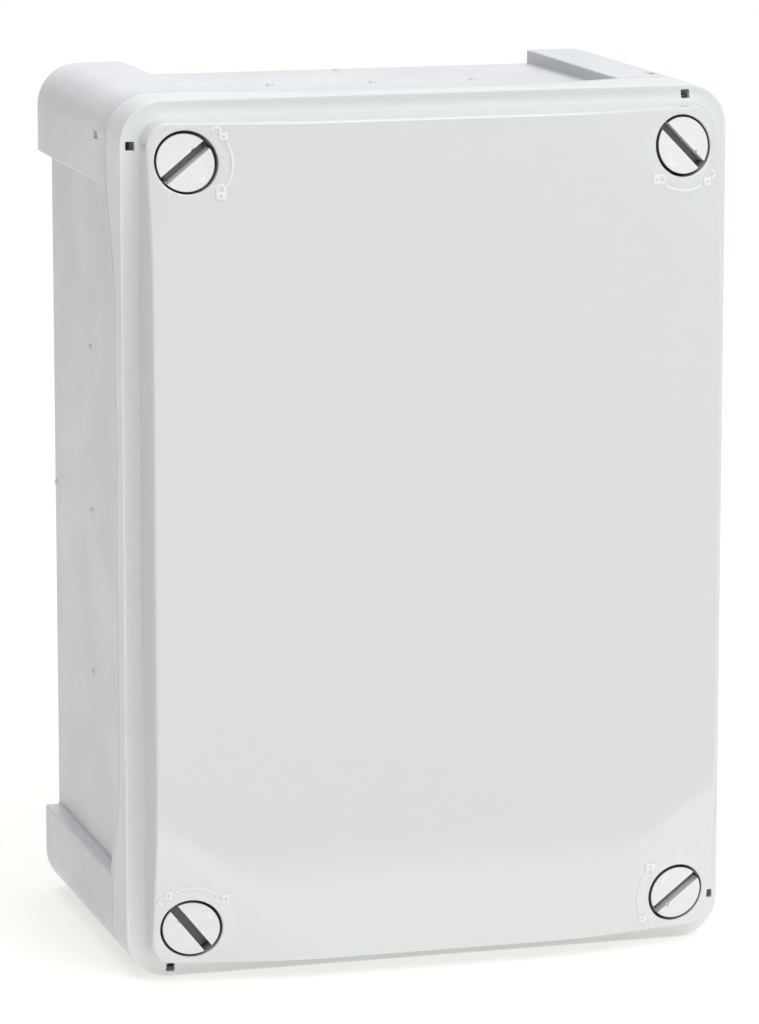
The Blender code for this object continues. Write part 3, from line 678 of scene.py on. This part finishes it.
def add_stroke(bm, path, place):
    """A raised stroke with a half-round section and rounded ends; heights run from -1 to 1."""
    half = STROKE / 2
    path = [Vector(point) for point in path]
    stations = []
    ahead = (path[0] - path[1]).normalized()
    for sine, cosine in quarter_turn(3)[:0:-1]:
        stations.append((path[0] + ahead * half * sine, max(cosine, 0.15), -ahead))
    for i, point in enumerate(path):
        step = path[min(i + 1, len(path) - 1)] - path[max(i - 1, 0)]
        stations.append((point, 1.0, step.normalized()))
    ahead = (path[-1] - path[-2]).normalized()
    for sine, cosine in quarter_turn(3)[1:]:
        stations.append((path[-1] + ahead * half * sine, max(cosine, 0.15), ahead))
    section = [(1.0, -1.0), *arc(0, 0, 1.0, 0.0, pi, 6), (-1.0, -1.0)]
    loops = []
    for centre, scale, along in stations:
        across = Vector((-along.y, along.x)) * half * scale
        loops.append([place(*(centre + across * a), scale * up if up > 0 else up) for a, up in section])
    loft(bm, loops)


def add_padlock_body(bm, u, v, half_u, half_v, place):
    """A raised block with a keyhole dot."""
    outer = rectangle(u - half_u, u + half_u, v - half_v, v + half_v, 0.35 * MM)
    eased = 0.15 * MM
    inner = rectangle(u - half_u + eased, u + half_u - eased,
                      v - half_v + eased, v + half_v - eased, 0.3 * MM)
    dot = []
    for a, b in outer:
        away = Vector((a - u, b - v)).normalized() * 0.42 * MM
        dot.append((u + away.x, v + away.y))
    loft(bm, [[place(a, b, up) for a, b in loop] for loop, up in (
        (outer, -1.0), (outer, 0.6), (inner, 1.0), (dot, 1.0), (dot, -0.4))])


def make_marks():
    """A quarter-turn arc between an open and a closed padlock, at each closure."""
    for corner in CORNERS:
        place = on_panel(corner, MARK_HEIGHT)
        bm = bmesh.new()
        add_stroke(bm, arc(0, 0, ARC_RADIUS, ARC_MIDDLE - ARC_HALF, 2 * ARC_HALF, 24), place)
        u, v = LOCKED
        add_padlock_body(bm, u, v, PADLOCK_HALF, 1.5 * MM, place)
        reach = PADLOCK_HALF - STROKE / 2
        shackle = [(u + reach, v + 1 * MM), (u + reach, v + 2.2 * MM)]
        shackle += arc(u, v + 2.4 * MM, reach, 0.0, pi, 10)
        shackle += [(u - reach, v + 2.2 * MM), (u - reach, v + 1 * MM)]
        add_stroke(bm, shackle, place)
        u, v = UNLOCKED
        add_padlock_body(bm, u, v, 1.7 * MM, 1.5 * MM, place)
        bend = 1.5 * MM
        left = u - 1.7 * MM + STROKE / 2
        hook = [(left, v + 1 * MM), (left, v + 1.7 * MM)]
        hook += arc(left - bend, v + 1.9 * MM, bend, 0.0, pi, 10)
        add_stroke(bm, hook, place)
        name = "lock_marks_" + corner
        piece(name, mesh_of(name, bm), "mark", "lid_body", "shell_grey", corner_angle=50)


# ---- closures ----
def head_rise(x, z):
    """Height of a head's sloping top over the rim plane, for the top left corner."""
    return CLOSURE_RISE - HEAD_DROP + FACET_SLOPE * (x - z)


def turned(u, v, angle=pi / 4):
    """Turns a plan point anticlockwise, by an eighth of a turn unless told otherwise."""
    return u * cos(angle) - v * sin(angle), u * sin(angle) + v * cos(angle)


def bar(half_u, half_v, angle=pi / 4):
    """A rectangle about the origin, turned."""
    return [turned(u, v, angle) for u, v in
            ((half_u, -half_v), (half_u, half_v), (-half_u, half_v), (-half_u, -half_v))]


def head_mesh():
    """A closure's slotted head with its raised pointer, stem and two lugs, about its own axis."""
    head = bmesh.new()
    rings = 8
    loops = []
    for ring in range(1, rings + 1):
        loops.append(at(circle(0, 0, (HEAD_RADIUS - HEAD_EDGE) * ring / rings, ROUND),
                        lambda x, z: -head_rise(x, z)))
    for sine, cosine in reversed(quarter_turn(4)[:-1]):
        loops.append(at(circle(0, 0, HEAD_RADIUS - HEAD_EDGE * (1 - cosine), ROUND),
                        lambda x, z, s=sine: HEAD_EDGE * (1 - s) - head_rise(x, z)))
    side = len(loops) - 1
    neck = STEM_RADIUS - 0.6 * MM
    profile = [(HEAD_RADIUS, HEAD_UNDERSIDE - HEAD_EDGE), (HEAD_RADIUS - HEAD_EDGE, HEAD_UNDERSIDE),
               (STEM_RADIUS, HEAD_UNDERSIDE), (STEM_RADIUS, 8 * MM), (neck, 8.4 * MM), (neck, 15 * MM),
               (STEM_RADIUS, 15.4 * MM), (STEM_RADIUS, STEM_TIP - 1 * MM), (STEM_RADIUS - 1 * MM, STEM_TIP)]
    loops += [at(circle(0, 0, radius, ROUND), depth) for radius, depth in profile]
    # the head's side below its rounded edge takes the painted shade finish
    loft(head, loops, finish_of=lambda k: int(k == side))

    lugs = bmesh.new()
    lug = rectangle(-LUG_REACH, LUG_REACH, -LUG_WIDTH / 2, LUG_WIDTH / 2, 1 * MM, 6)
    prism(lugs, [turned(u, v) for u, v in lug], STEM_TIP - 1 * MM - LUG_THICKNESS, STEM_TIP - 1 * MM)

    slot = bmesh.new()
    # the slot's floor takes the painted shade finish
    flared(slot, lambda out: bar(SLOT_REACH, SLOT_WIDTH / 2 + out), head_rise, 0.2 * MM, SLOT_FLOOR, 1)
    pockets = bmesh.new()
    half = SLOT_WIDTH / 2 - 0.3 * MM
    for sign in (-1, 1):
        near, far = sorted((sign * (HEAD_RADIUS - POCKET_LENGTH), sign * SLOT_REACH))
        pocket = [turned(u, v) for u, v in ((far, -half), (far, half), (near, half), (near, -half))]
        prism(pockets, pocket, SLOT_FLOOR - 1 * MM, HEAD_UNDERSIDE + 1 * MM)
    nick = bmesh.new()
    wall = SLOT_WIDTH / 2 - 0.4 * MM
    corners = [turned(u, v) for u, v in
               ((3.6 * MM, wall), (6.2 * MM, wall), (5.8 * MM, wall + 1.3 * MM))]
    loft(nick, [at(corners, lambda x, z, d=d: d - head_rise(x, z)) for d in (-1 * MM, 1.2 * MM)])

    pointer = bmesh.new()
    x, z = POINTER_CORNER
    tip = fillet([(x - POINTER_LEG, z, 0.2 * MM), (x, z, 0.2 * MM), (x, z + POINTER_LEG, 0.2 * MM)], 3)
    centre = Vector((x - POINTER_LEG / 3, z + POINTER_LEG / 3))
    small = [tuple(centre + (Vector(p) - centre) * 0.86) for p in tip]
    loft(pointer, [at(loop, lambda a, b, d=d: d - head_rise(a, b))
                   for loop, d in ((tip, 0.5 * MM), (tip, -0.05 * MM), (small, -0.2 * MM))])
    return carved(mesh_of("closure_head", head), [
        ("UNION", lugs), ("DIFFERENCE", slot), ("DIFFERENCE", pockets), ("DIFFERENCE", nick),
        ("UNION", pointer)])


def o_ring_mesh():
    """The O-ring between the head's underside and the bore's floor."""
    bm = bmesh.new()
    section = (BORE_FLOOR - HEAD_UNDERSIDE) / 2 - CLEARANCE
    centre = (STEM_RADIUS + CLEARANCE + section, (BORE_FLOOR + HEAD_UNDERSIDE) / 2)
    revolve(bm, circle(*centre, section, 16), 48, ring=True)
    return mesh_of("o_ring", bm)


def retaining_ring_mesh():
    """The open spring ring round the stem, toothed on the inside."""
    bm = bmesh.new()
    outer, _, front, back = extent("closure_clip_top_left")
    outline = arc(0, 0, outer, RING_GAP, 2 * pi - 2 * RING_GAP, 40)
    for k, (x, z) in enumerate(outline[::-1]):
        inner = STEM_RADIUS + CLEARANCE + (TOOTH if k % 14 > 4 else 0.0)
        outline.append((x * inner / outer, z * inner / outer))
    prism(bm, outline, front, back)
    return mesh_of("retaining_ring", bm)


def make_closures():
    """Four closures with O-rings and retaining rings, each seated about its own axis."""
    parts = [("turn_head_", head_mesh(), "closure slot", "closure_grey", "closure_", 32),
             ("o_ring_", o_ring_mesh(), "rubber", "seal_rubber", "closure_oring_", 60),
             ("retaining_ring_", retaining_ring_mesh(), "spring", "spring_steel", "closure_clip_", 30)]
    for index, (corner, (sx, sz)) in enumerate(CORNERS.items()):
        off_true, shift_x, shift_z = SEATS[corner]
        spot = (sx * CLOSURE_X + shift_x * MM, 0.0, sz * CLOSURE_Z + shift_z * MM)
        turn = index * pi / 2 + radians(off_true)
        for name, mesh, finish, slot, node, angle in parts:
            piece(name + corner, mesh, finish, "closure_body_" + corner, slot,
                  [node + corner], spot, turn, angle)


# ---- base ----
NUB_RADIUS = 1.8 * MM
NUB_HEIGHT = 0.9 * MM
BACKWARD = Vector((0, 1, 0))
SIDE_NUBS = [(76 * MM, 65 * MM), (76 * MM, 0.0), (76 * MM, -65 * MM), (141 * MM, 0.0)]
END_NUBS = [(-39 * MM, 87 * MM), (2.5 * MM, 85 * MM), (44 * MM, 85 * MM), (2.5 * MM, 138 * MM)]


def wall_recess(depth):
    """How far the walls are set back from the posts at a depth."""
    return mix(RECESS_FRONT, RECESS_BACK, (depth - POST_FRONT) / (BACK - POST_FRONT))


def nub(bm, origin, out, across):
    """A drilling-centre pip: a low dome that stands out from a wall."""
    rings = ((1.0, -0.4), (1.0, 0.0), (0.8, 0.5), (0.5, 0.85), (0.2, 1.0))
    loops = []
    for share, rise in rings:
        centre = origin + out * (NUB_HEIGHT * rise)
        loops.append([centre + BACKWARD * a + across * b for a, b in circle(0, 0, NUB_RADIUS * share, 20)])
    loft(bm, loops)


def make_pips():
    """The drilling centres on all four walls."""
    pips = bmesh.new()
    for side in (-1, 1):
        for depth, z in SIDE_NUBS:
            spot = Vector((side * (HALF_W - wall_recess(depth)), depth, z))
            nub(pips, spot, Vector((side, 0, 0)), Vector((0, 0, 1)))
        for x, depth in END_NUBS:
            spot = Vector((x, depth, side * (HALF_H - wall_recess(depth))))
            nub(pips, spot, Vector((0, 0, side)), Vector((1, 0, 0)))
    piece("drilling_pips", mesh_of("drilling_pips", pips), "shell", "base_body", "shell_grey",
          corner_angle=60)


def make_base():
    """The tub: posts, walls, flange, collar, wells and bosses."""
    body = bmesh.new()
    depths = [mix(POST_FRONT, BACK - BACK_EDGE, i / 6) for i in range(7)]
    loops = [at(posted_outline(wall_recess(depth), 0.0), depth) for depth in depths]
    for sine, cosine in quarter_turn(5)[1:]:
        depth = BACK - BACK_EDGE * (1 - sine)
        loops.append(at(posted_outline(RECESS_BACK, BACK_EDGE * (1 - cosine)), depth))
    loft(body, loops)

    collar = bmesh.new()
    ring = [(0.6 * MM, COLLAR_FRONT), (0.2 * MM, COLLAR_FRONT + 0.2 * MM), (0.0, COLLAR_FRONT + 0.6 * MM),
            (0.0, COLLAR_BACK)]
    loft(collar, [at(lid_outline(COLLAR_INSET + inset), depth) for inset, depth in ring])

    flange = bmesh.new()
    edge = 0.45 * MM
    lap = COLLAR_INSET + 1.5 * MM
    front = [(edge * (1 - sine), edge * (1 - cosine)) for sine, cosine in quarter_turn(3)]
    back = [(edge * (1 - cosine), FLANGE - edge * (1 - sine)) for sine, cosine in quarter_turn(3)]
    section = [(lap, 0.0), *front, *back, (lap, FLANGE)]
    loft(flange, [at(lid_outline(inset), lambda x, z, d=down: parting_depth(x, z) + PART_GAP + d)
                  for inset, down in section], ring=True)

    hollow = bmesh.new()
    notch_x, notch_z = HALF_W - POST, HALF_H - POST
    loft(hollow, [at(notched_outline(HALF_W - inset, HALF_H - inset, notch_x, notch_z, 1.5 * MM), depth)
                  for inset, depth in ((COLLAR_INSET + WALL, 0.0), (RECESS_BACK + WALL, BACK - WALL))])
    shelf = bmesh.new()
    for sx, sz in CORNERS.values():
        xs = sorted((sx * (HALF_W - POST + WALL), sx * (HALF_W - WELL_WALL)))
        zs = sorted((sz * (HALF_H - POST + WALL), sz * (HALF_H - WELL_WALL)))
        well = rectangle(*xs, *zs, 1.5 * MM)
        prism(hollow, well, 0.0, SHELF_FRONT)
        prism(hollow, well, SHELF_BACK, BACK - WALL)
        xs = sorted((sx * (HALF_W - POST + WALL - 0.2 * MM), sx * (CLOSURE_X + SHELF_REACH)))
        zs = sorted((sz * (HALF_H - POST + WALL - 0.2 * MM), sz * (CLOSURE_Z + SHELF_REACH)))
        prism(shelf, rectangle(*xs, *zs, 1.2 * MM), SHELF_FRONT - 1 * MM, SHELF_BACK + 1 * MM)

    bosses = bmesh.new()
    holes = bmesh.new()
    for corner, (sx, sz) in CORNERS.items():
        screw = middle("plate_screw_" + corner) - DATUM
        prism(bosses, circle(screw.x, screw.z, BOSS_RADIUS, 32), PLATE_BACK + 0.3 * MM, BACK - WALL / 2)
        prism(holes, circle(screw.x, screw.z, THREAD_RADIUS, 24), PLATE_FRONT, BACK - WALL)
        x, z = sx * CLOSURE_X, sz * CLOSURE_Z
        prism(holes, circle(x, z, FIXING_RADIUS, 32), BACK - 2 * WALL, BACK + WALL)
        x, z = corner_point(corner, SEAL_FROM_CORNER, 0.0)
        reach_x, reach_z = SEAL_HOLE / 2, SEAL_SIDE_REACH
        if corner in ("top_left", "bottom_right"):
            reach_x, reach_z = reach_z, reach_x
        prism(holes, rectangle(x - reach_x, x + reach_x, z - reach_z, z + reach_z, 0.3 * MM),
              SEAL_SIDE_FRONT, SEAL_SIDE_BACK)

    tub = carved(mesh_of("base_tub", body), [
        ("UNION", collar), ("UNION", flange), ("DIFFERENCE", hollow),
        ("DIFFERENCE", shelf), ("UNION", bosses), ("DIFFERENCE", holes)])
    piece("base_tub", tub, "shell", "base_body", "shell_grey", ["base"])


def make_seal():
    """The foam seal on the chamber walls: a bead that steps round the four posts."""
    outer, _, front, back = extent("lid_gasket")
    width = 2.4 * MM
    notch = HALF_W - POST + width
    taller = HALF_H - HALF_W
    bm = bmesh.new()
    loops = []
    for across, along in circle(0, 0, 0.5, 12):
        inset = width * (0.5 - across)
        outline = notched_outline(outer - inset, outer - inset + taller,
                                  notch - inset, notch - inset + taller, 2 * MM)
        loops.append(at(divided(outline, 12 * MM), (front + back) / 2 + (back - front) * along))
    fewest = min(len(loop) for loop in loops)
    loft(bm, [loop[:fewest] for loop in loops], ring=True)
    piece("foam_seal", mesh_of("foam_seal", bm), "foam", "lid_body", "seal_foam", ["lid_gasket"],
          corner_angle=60)


# ---- interior ----
SHANK_RADIUS = 1.7 * MM
SEAT_GAP = 0.3 * MM           # between a screw's head and the sheet below it
THREAD_PITCH = 0.8 * MM


def screw_mesh(name, head_radius, head_height, length):
    """A pan-head screw with a cross recess, its head's underside at depth 0."""
    bm = bmesh.new()
    profile = [(head_radius * cos(a), -head_height * sin(a) ** 0.8)
               for a in [pi / 2 * (1 - i / 8) * 0.97 for i in range(8)]]
    profile += [(head_radius, 0.0), (SHANK_RADIUS, 0.0)]
    for i in range(int(length / THREAD_PITCH)):
        depth = 0.5 * MM + i * THREAD_PITCH
        profile += [(SHANK_RADIUS * 0.82, depth), (SHANK_RADIUS, depth + 0.3 * MM)]
    profile.append((SHANK_RADIUS * 0.5, length))
    revolve(bm, profile, 32)
    cross = bmesh.new()
    arm, half = head_radius * 0.55, head_radius * 0.13
    for a in (0, pi / 2):
        prism(cross, bar(arm, half, a), -2 * head_height, -head_height * 0.35)
    return carved(mesh_of(name, bm), [("DIFFERENCE", cross)])


def place_screws(name, node, places, underside):
    """Pan-head screws of one mesh where CAD has them, with their heads' undersides at a depth."""
    radius, _, front, back = extent(node + places[0])
    screw = screw_mesh(name, radius, underside - front, back - underside)
    for place in places:
        spot = middle(node + place) - DATUM
        piece(name + "_" + place, screw, "screw", "base_body", "zinc_screw", [node + place],
              (spot.x, underside, spot.z))


def make_plate():
    """The mounting plate with rounded edges and its four screws."""
    bm = bmesh.new()
    bevel = 0.25 * MM
    loops = []
    for inset, depth in ((bevel, PLATE_FRONT), (0, PLATE_FRONT + bevel),
                         (0, PLATE_BACK - bevel), (bevel, PLATE_BACK)):
        loops.append(at(rectangle(inset - PLATE_HALF_X, PLATE_HALF_X - inset,
                                  inset - PLATE_HALF_Z, PLATE_HALF_Z - inset, 4 * MM), depth))
    loft(bm, loops)
    holes = bmesh.new()
    names = ["plate_screw_" + corner for corner in CORNERS] + ["rail_screw_left", "rail_screw_right"]
    for name in names:
        spot = middle(name) - DATUM
        prism(holes, circle(spot.x, spot.z, 2.5 * MM, 32), PLATE_FRONT - 1 * MM, PLATE_BACK + 1 * MM)
    mesh = carved(mesh_of("mounting_plate_sheet", bm), [("DIFFERENCE", holes)])
    piece("mounting_plate_sheet", mesh, "zinc", "base_body", "zinc_steel", ["mounting_plate"])
    place_screws("pan_screw", "plate_screw_", list(CORNERS), PLATE_FRONT - SEAT_GAP)


def make_rail():
    """The top-hat rail with rounded bends and slots, and its two screws."""
    length, half, front, back = extent("terminal_rail")
    channel, thick = 12.5 * MM, 1 * MM
    inner, outer = 0.4 * MM, 1.2 * MM
    side = [(half, front, 0.3 * MM), (half, front + thick, 0.3 * MM), (channel, front + thick, inner),
            (channel, back, outer)]
    inside = [(channel - thick, back - thick, inner), (channel - thick, front, outer)]
    profile = side + [(-z, d, r) for z, d, r in reversed(side)]
    profile += [(-z, d, r) for z, d, r in reversed(inside)] + inside
    profile = fillet(profile, 4)
    bm = bmesh.new()
    loft(bm, [[(x, d, z) for z, d in profile] for x in (-length, length)])
    slots = bmesh.new()
    half_length, half_width, pitch = 7.5 * MM, 3.1 * MM, 30 * MM
    for k in (-2, -1, 0, 1, 2):
        x = k * pitch
        prism(slots, rectangle(x - half_length, x + half_length, -half_width, half_width, 3 * MM, 8),
              back - 2 * thick, back + thick)
    mesh = carved(mesh_of("top_hat_rail", bm), [("DIFFERENCE", slots)])
    piece("top_hat_rail", mesh, "zinc", "base_body", "zinc_steel", ["terminal_rail"])
    place_screws("rail_pan_screw", "rail_screw_", ["left", "right"], back - thick - SEAT_GAP)


HOOK = 17.8 * MM              # half of the rail's width and the play round it
CLAMP_Z = 13 * MM
CLAMP_RADIUS = 2.2 * MM
ENTRY_DEPTH = 14 * MM         # how far behind the front the conductors' funnels lie
MARKER_HALF = 4.4 * MM
GRIP = extent("terminal_rail")[2]      # depth of the rail's front flanges


def side_view(half, front, back, step, chamfer):
    """A terminal's side view: a stepped housing hooked over the rail, as (z, depth, radius) corners."""
    depth = GRIP - front
    lip = GRIP + 1.3 * MM
    ease_off = 0.4 * MM
    right = [(half - chamfer, front, 1.2 * MM), (half, front + chamfer, 1.2 * MM),
             (half, front + depth * 0.55, 1 * MM), (half - step, front + depth * 0.7, 1 * MM),
             (half - step, back, ease_off), (HOOK - 2 * MM, back, ease_off), (HOOK - 2 * MM, lip, 0.2 * MM),
             (HOOK, lip, 0.2 * MM), (HOOK, GRIP - 0.3 * MM, ease_off)]
    return right + [(-z, d, r) for z, d, r in reversed(right)]


def housing(name, view, half_width, cuts):
    """A terminal body from its side view, with eased side edges and cut-outs."""
    bm = bmesh.new()
    ease_off = 0.3 * MM
    plain = fillet(view, 4)
    middle_z, middle_d = [sum(values) / len(plain) for values in zip(*plain)]
    small = [(middle_z + (z - middle_z) * 0.985, middle_d + (d - middle_d) * 0.985) for z, d in plain]
    sections = ((small, -half_width), (plain, ease_off - half_width),
                (plain, half_width - ease_off), (small, half_width))
    loft(bm, [[(x, d, z) for z, d in outline] for outline, x in sections])
    return carved(mesh_of(name, bm), [("DIFFERENCE", cut) for cut in cuts])


def terminal_housing(half_width, half_height, front, back):
    """A feed-through terminal's body: screw wells, conductor funnels and marker grooves."""
    wells = bmesh.new()
    for sz in (-1, 1):
        round_hole(wells, 0, sz * CLAMP_Z, CLAMP_RADIUS + 0.2 * MM, 32,
                   lambda x, z: -front, 0.5 * MM, front + 9 * MM)
        funnel = []
        for radius, z in ((3.2, 1.0), (3.2, 0.0), (2.6, -1.2), (2.6, -8.0)):
            funnel.append([(x, y, sz * (half_height + z * MM))
                           for x, y in circle(0, front + ENTRY_DEPTH, radius * MM, 32)])
        loft(wells, funnel)
    grooves = bmesh.new()
    across = 2 * half_width
    prism(grooves, rectangle(-across, across, -5 * MM, 5 * MM, 0.5 * MM), front - 1 * MM, front + 1 * MM)
    half = 0.35 * MM
    for z in (-17.8 * MM, 8.2 * MM, -8.2 * MM, 17.8 * MM):
        line = rectangle(-across, across, z - half, z + half, 0.1 * MM)
        prism(grooves, line, front - 1 * MM, front + 0.5 * MM)
    view = side_view(half_height, front, back, 2 * MM, 3 * MM)
    return housing("terminal_housing", view, half_width, [wells, grooves])


def add_clamp_screw(bm, x, front, z, radius):
    """A slotted cylinder-head screw seen down its well: two half-moons over a floor."""
    slot = radius * 0.2
    start = asin(slot / radius)
    prism(bm, circle(x, z, radius, 32), front + 0.8 * MM, front + 5 * MM)
    for flip in (0, pi):
        moon = arc(x, z, radius, start + flip, pi - 2 * start, 14)
        prism(bm, moon, front, front + 0.9 * MM)


def make_terminals():
    """Feed-through terminals, earth terminals and end stops, with clamp screws and markers."""
    half_width, half_height, front, back = extent("terminal_1")
    through = terminal_housing(half_width, half_height, front, back)
    earth = through.copy()
    earth.name = "earth_housing"
    rows = [("terminal_%d" % (i + 1), through, "terminal", "terminal_grey") for i in range(8)]
    rows += [("earth_terminal_" + side, earth, "earth", "earth_green") for side in ("left", "right")]
    screws = bmesh.new()
    cards = bmesh.new()
    for name, mesh, finish, slot in rows:
        x = middle(name).x
        piece(name + "_housing", mesh, finish, "base_body", slot, [name], (x, 0, 0))
        for sz in (-1, 1):
            add_clamp_screw(screws, x, front + 2.5 * MM, sz * CLAMP_Z, CLAMP_RADIUS)
        reach = half_width - 0.5 * MM
        card = rectangle(x - reach, x + reach, -MARKER_HALF, MARKER_HALF, 0.3 * MM)
        prism(cards, card, front + 0.3 * MM, front + 1.4 * MM)

    half_width, half_height, front, back = extent("end_stop_left")
    hole = bmesh.new()
    round_hole(hole, 0, 0, 2.6 * MM, 32, lambda x, z: -front, 0.5 * MM, front + 12 * MM)
    view = side_view(half_height, front, back, 1 * MM, 2 * MM)
    stop = housing("end_stop_housing", view, half_width, [hole])
    for name in ("end_stop_left", "end_stop_right"):
        x = middle(name).x
        piece(name + "_housing", stop, "terminal", "base_body", "terminal_grey", [name], (x, 0, 0))
        add_clamp_screw(screws, x, front + 3 * MM, 0.0, 2.4 * MM)
    piece("clamp_screws", mesh_of("clamp_screws", screws), "screw", "base_body", "zinc_screw")
    piece("marker_cards", mesh_of("marker_cards", cards), "marker", "base_body", "terminal_grey")


# ---- stage ----
CAMERA_AZIMUTH = radians(-16.01)      # to the left of straight in front
CAMERA_ELEVATION = radians(10.73)
CAMERA_DISTANCE = 2.0546
CAMERA_LENS = 182.2
CAMERA_AIM = Vector((-0.0012, 0.0, -0.0039))      # from the box's middle
LIGHT_AIM = Vector((0, 0, 0.17))
TABLE_GLOW = 0.48             # the floor is a light table
SKY_HORIZON = 1.38
SKY_ZENITH = 1.7
SKY_LEFT = 0.0                # share of the strength that is left at each side
SKY_RIGHT = 0.1
FLAG_AHEAD = 0.145            # how far before the lid the card starts
FLAG_HALF_WIDTH = 2.2
FLAG_LENGTH = 1.5             # along the floor
FLAG_RISE = 1.0               # its far end stands up


def soft_light(name, place, size, power):
    """A square soft box that shines at the box's middle."""
    data = bpy.data.lights.new(name, "AREA")
    data.size = size
    data.energy = power
    obj = add_object(name, data)
    obj.location = place
    obj.rotation_euler = (LIGHT_AIM - Vector(place)).to_track_quat("-Z", "Y").to_euler()
    obj.visible_camera = False


def make_sky():
    """Soft light from all round: strongest overhead, weakest from the left."""
    world = bpy.data.worlds.new("studio_air")
    world.use_nodes = True
    bpy.context.scene.world = world
    direction = add_node(world, "TexCoord", {}).outputs["Generated"]
    parts = add_node(world, "SeparateXYZ", {"Vector": direction}).outputs
    strength = spread(world, parts["Z"], SKY_HORIZON, SKY_ZENITH, 0.0, 1.0)
    for far, share in ((-0.78, SKY_LEFT), (0.85, SKY_RIGHT)):
        side = spread(world, parts["X"], share, 1.0, far, 0.1)
        product = add_node(world, "Math", {0: strength, 1: side}, operation="MULTIPLY")
        strength = product.outputs["Value"]
    background = world.node_tree.nodes["Background"]
    link(world, strength, background, "Strength")
    background.inputs["Color"].default_value = (0.98, 0.99, 1.0, 1.0)


def make_flag():
    """A dark card that lies before the lid and turns up; only the box's gloss picks it up."""
    mat, shader, coordinates = blank_material("flag_cloth")
    tone = blend_colours(mat, noise(mat, coordinates, 200.0), (0.02, 0.02, 0.02, 1.0),
                         (0.05, 0.05, 0.05, 1.0))
    link(mat, tone, shader, "Base Color")
    shader.inputs["Roughness"].default_value = 0.9
    bm = bmesh.new()
    rows = []
    for y, z in ((0.0, 0.0), (-FLAG_LENGTH, 0.0), (-FLAG_LENGTH, FLAG_RISE)):
        rows.append([bm.verts.new((x, y, z)) for x in (-FLAG_HALF_WIDTH, FLAG_HALF_WIDTH)])
    for near, far in zip(rows, rows[1:]):
        bm.faces.new((near[0], near[1], far[1], far[0]))
    flag = add_object("studio_flag", mesh_of("studio_flag", bm))
    flag.data.materials.append(mat)
    flag.location = (0.0, cad_low.y - FLAG_AHEAD, cad_low.z + 0.001)
    for ray in ("camera", "diffuse", "transmission", "volume_scatter", "shadow"):
        setattr(flag, "visible_" + ray, False)


def make_stage():
    """A pale floor under soft studio light, and the camera."""
    mat, shader, coordinates = blank_material("floor_paper")
    tone = blend_colours(mat, spread(mat, noise(mat, coordinates, 300.0), 0.0, 1.0),
                         (0.62, 0.615, 0.60, 1.0), (0.64, 0.635, 0.62, 1.0))
    link(mat, tone, shader, "Base Color")
    shader.inputs["Roughness"].default_value = 0.9
    shader.inputs["Specular IOR Level"].default_value = 0.1
    shader.inputs["Emission Color"].default_value = (1.0, 0.985, 0.955, 1.0)
    shader.inputs["Emission Strength"].default_value = TABLE_GLOW
    bm = bmesh.new()
    bmesh.ops.create_grid(bm, x_segments=4, y_segments=4, size=12.0)
    floor = add_object("studio_floor", mesh_of("studio_floor", bm))
    floor.data.materials.append(mat)
    floor.location = (0.0, 0.0, cad_low.z - 0.0002)

    make_sky()
    make_flag()
    soft_light("overhead_softbox", (0.0, -0.2, 2.2), 2.0, 6.0)
    soft_light("front_softbox", (0.9, -2.0, 2.4), 1.6, 18.0)

    view = bpy.context.scene.view_settings
    view.view_transform = "Standard"
    lens = bpy.data.cameras.new("studio_camera")
    lens.lens = CAMERA_LENS
    lens.sensor_width = 36.0
    lens.clip_end = 100.0
    camera = add_object("studio_camera", lens)
    away = Vector((sin(CAMERA_AZIMUTH) * cos(CAMERA_ELEVATION),
                   -cos(CAMERA_AZIMUTH) * cos(CAMERA_ELEVATION), sin(CAMERA_ELEVATION)))
    centre = (cad_low + cad_high) / 2
    camera.location = centre + CAMERA_AIM + away * CAMERA_DISTANCE
    camera.rotation_euler = (-away).to_track_quat("-Z", "Y").to_euler()
    bpy.context.scene.camera = camera


make_lid()
make_marks()
make_closures()
make_base()
make_pips()
make_seal()
make_plate()
make_rail()
make_terminals()
make_stage()
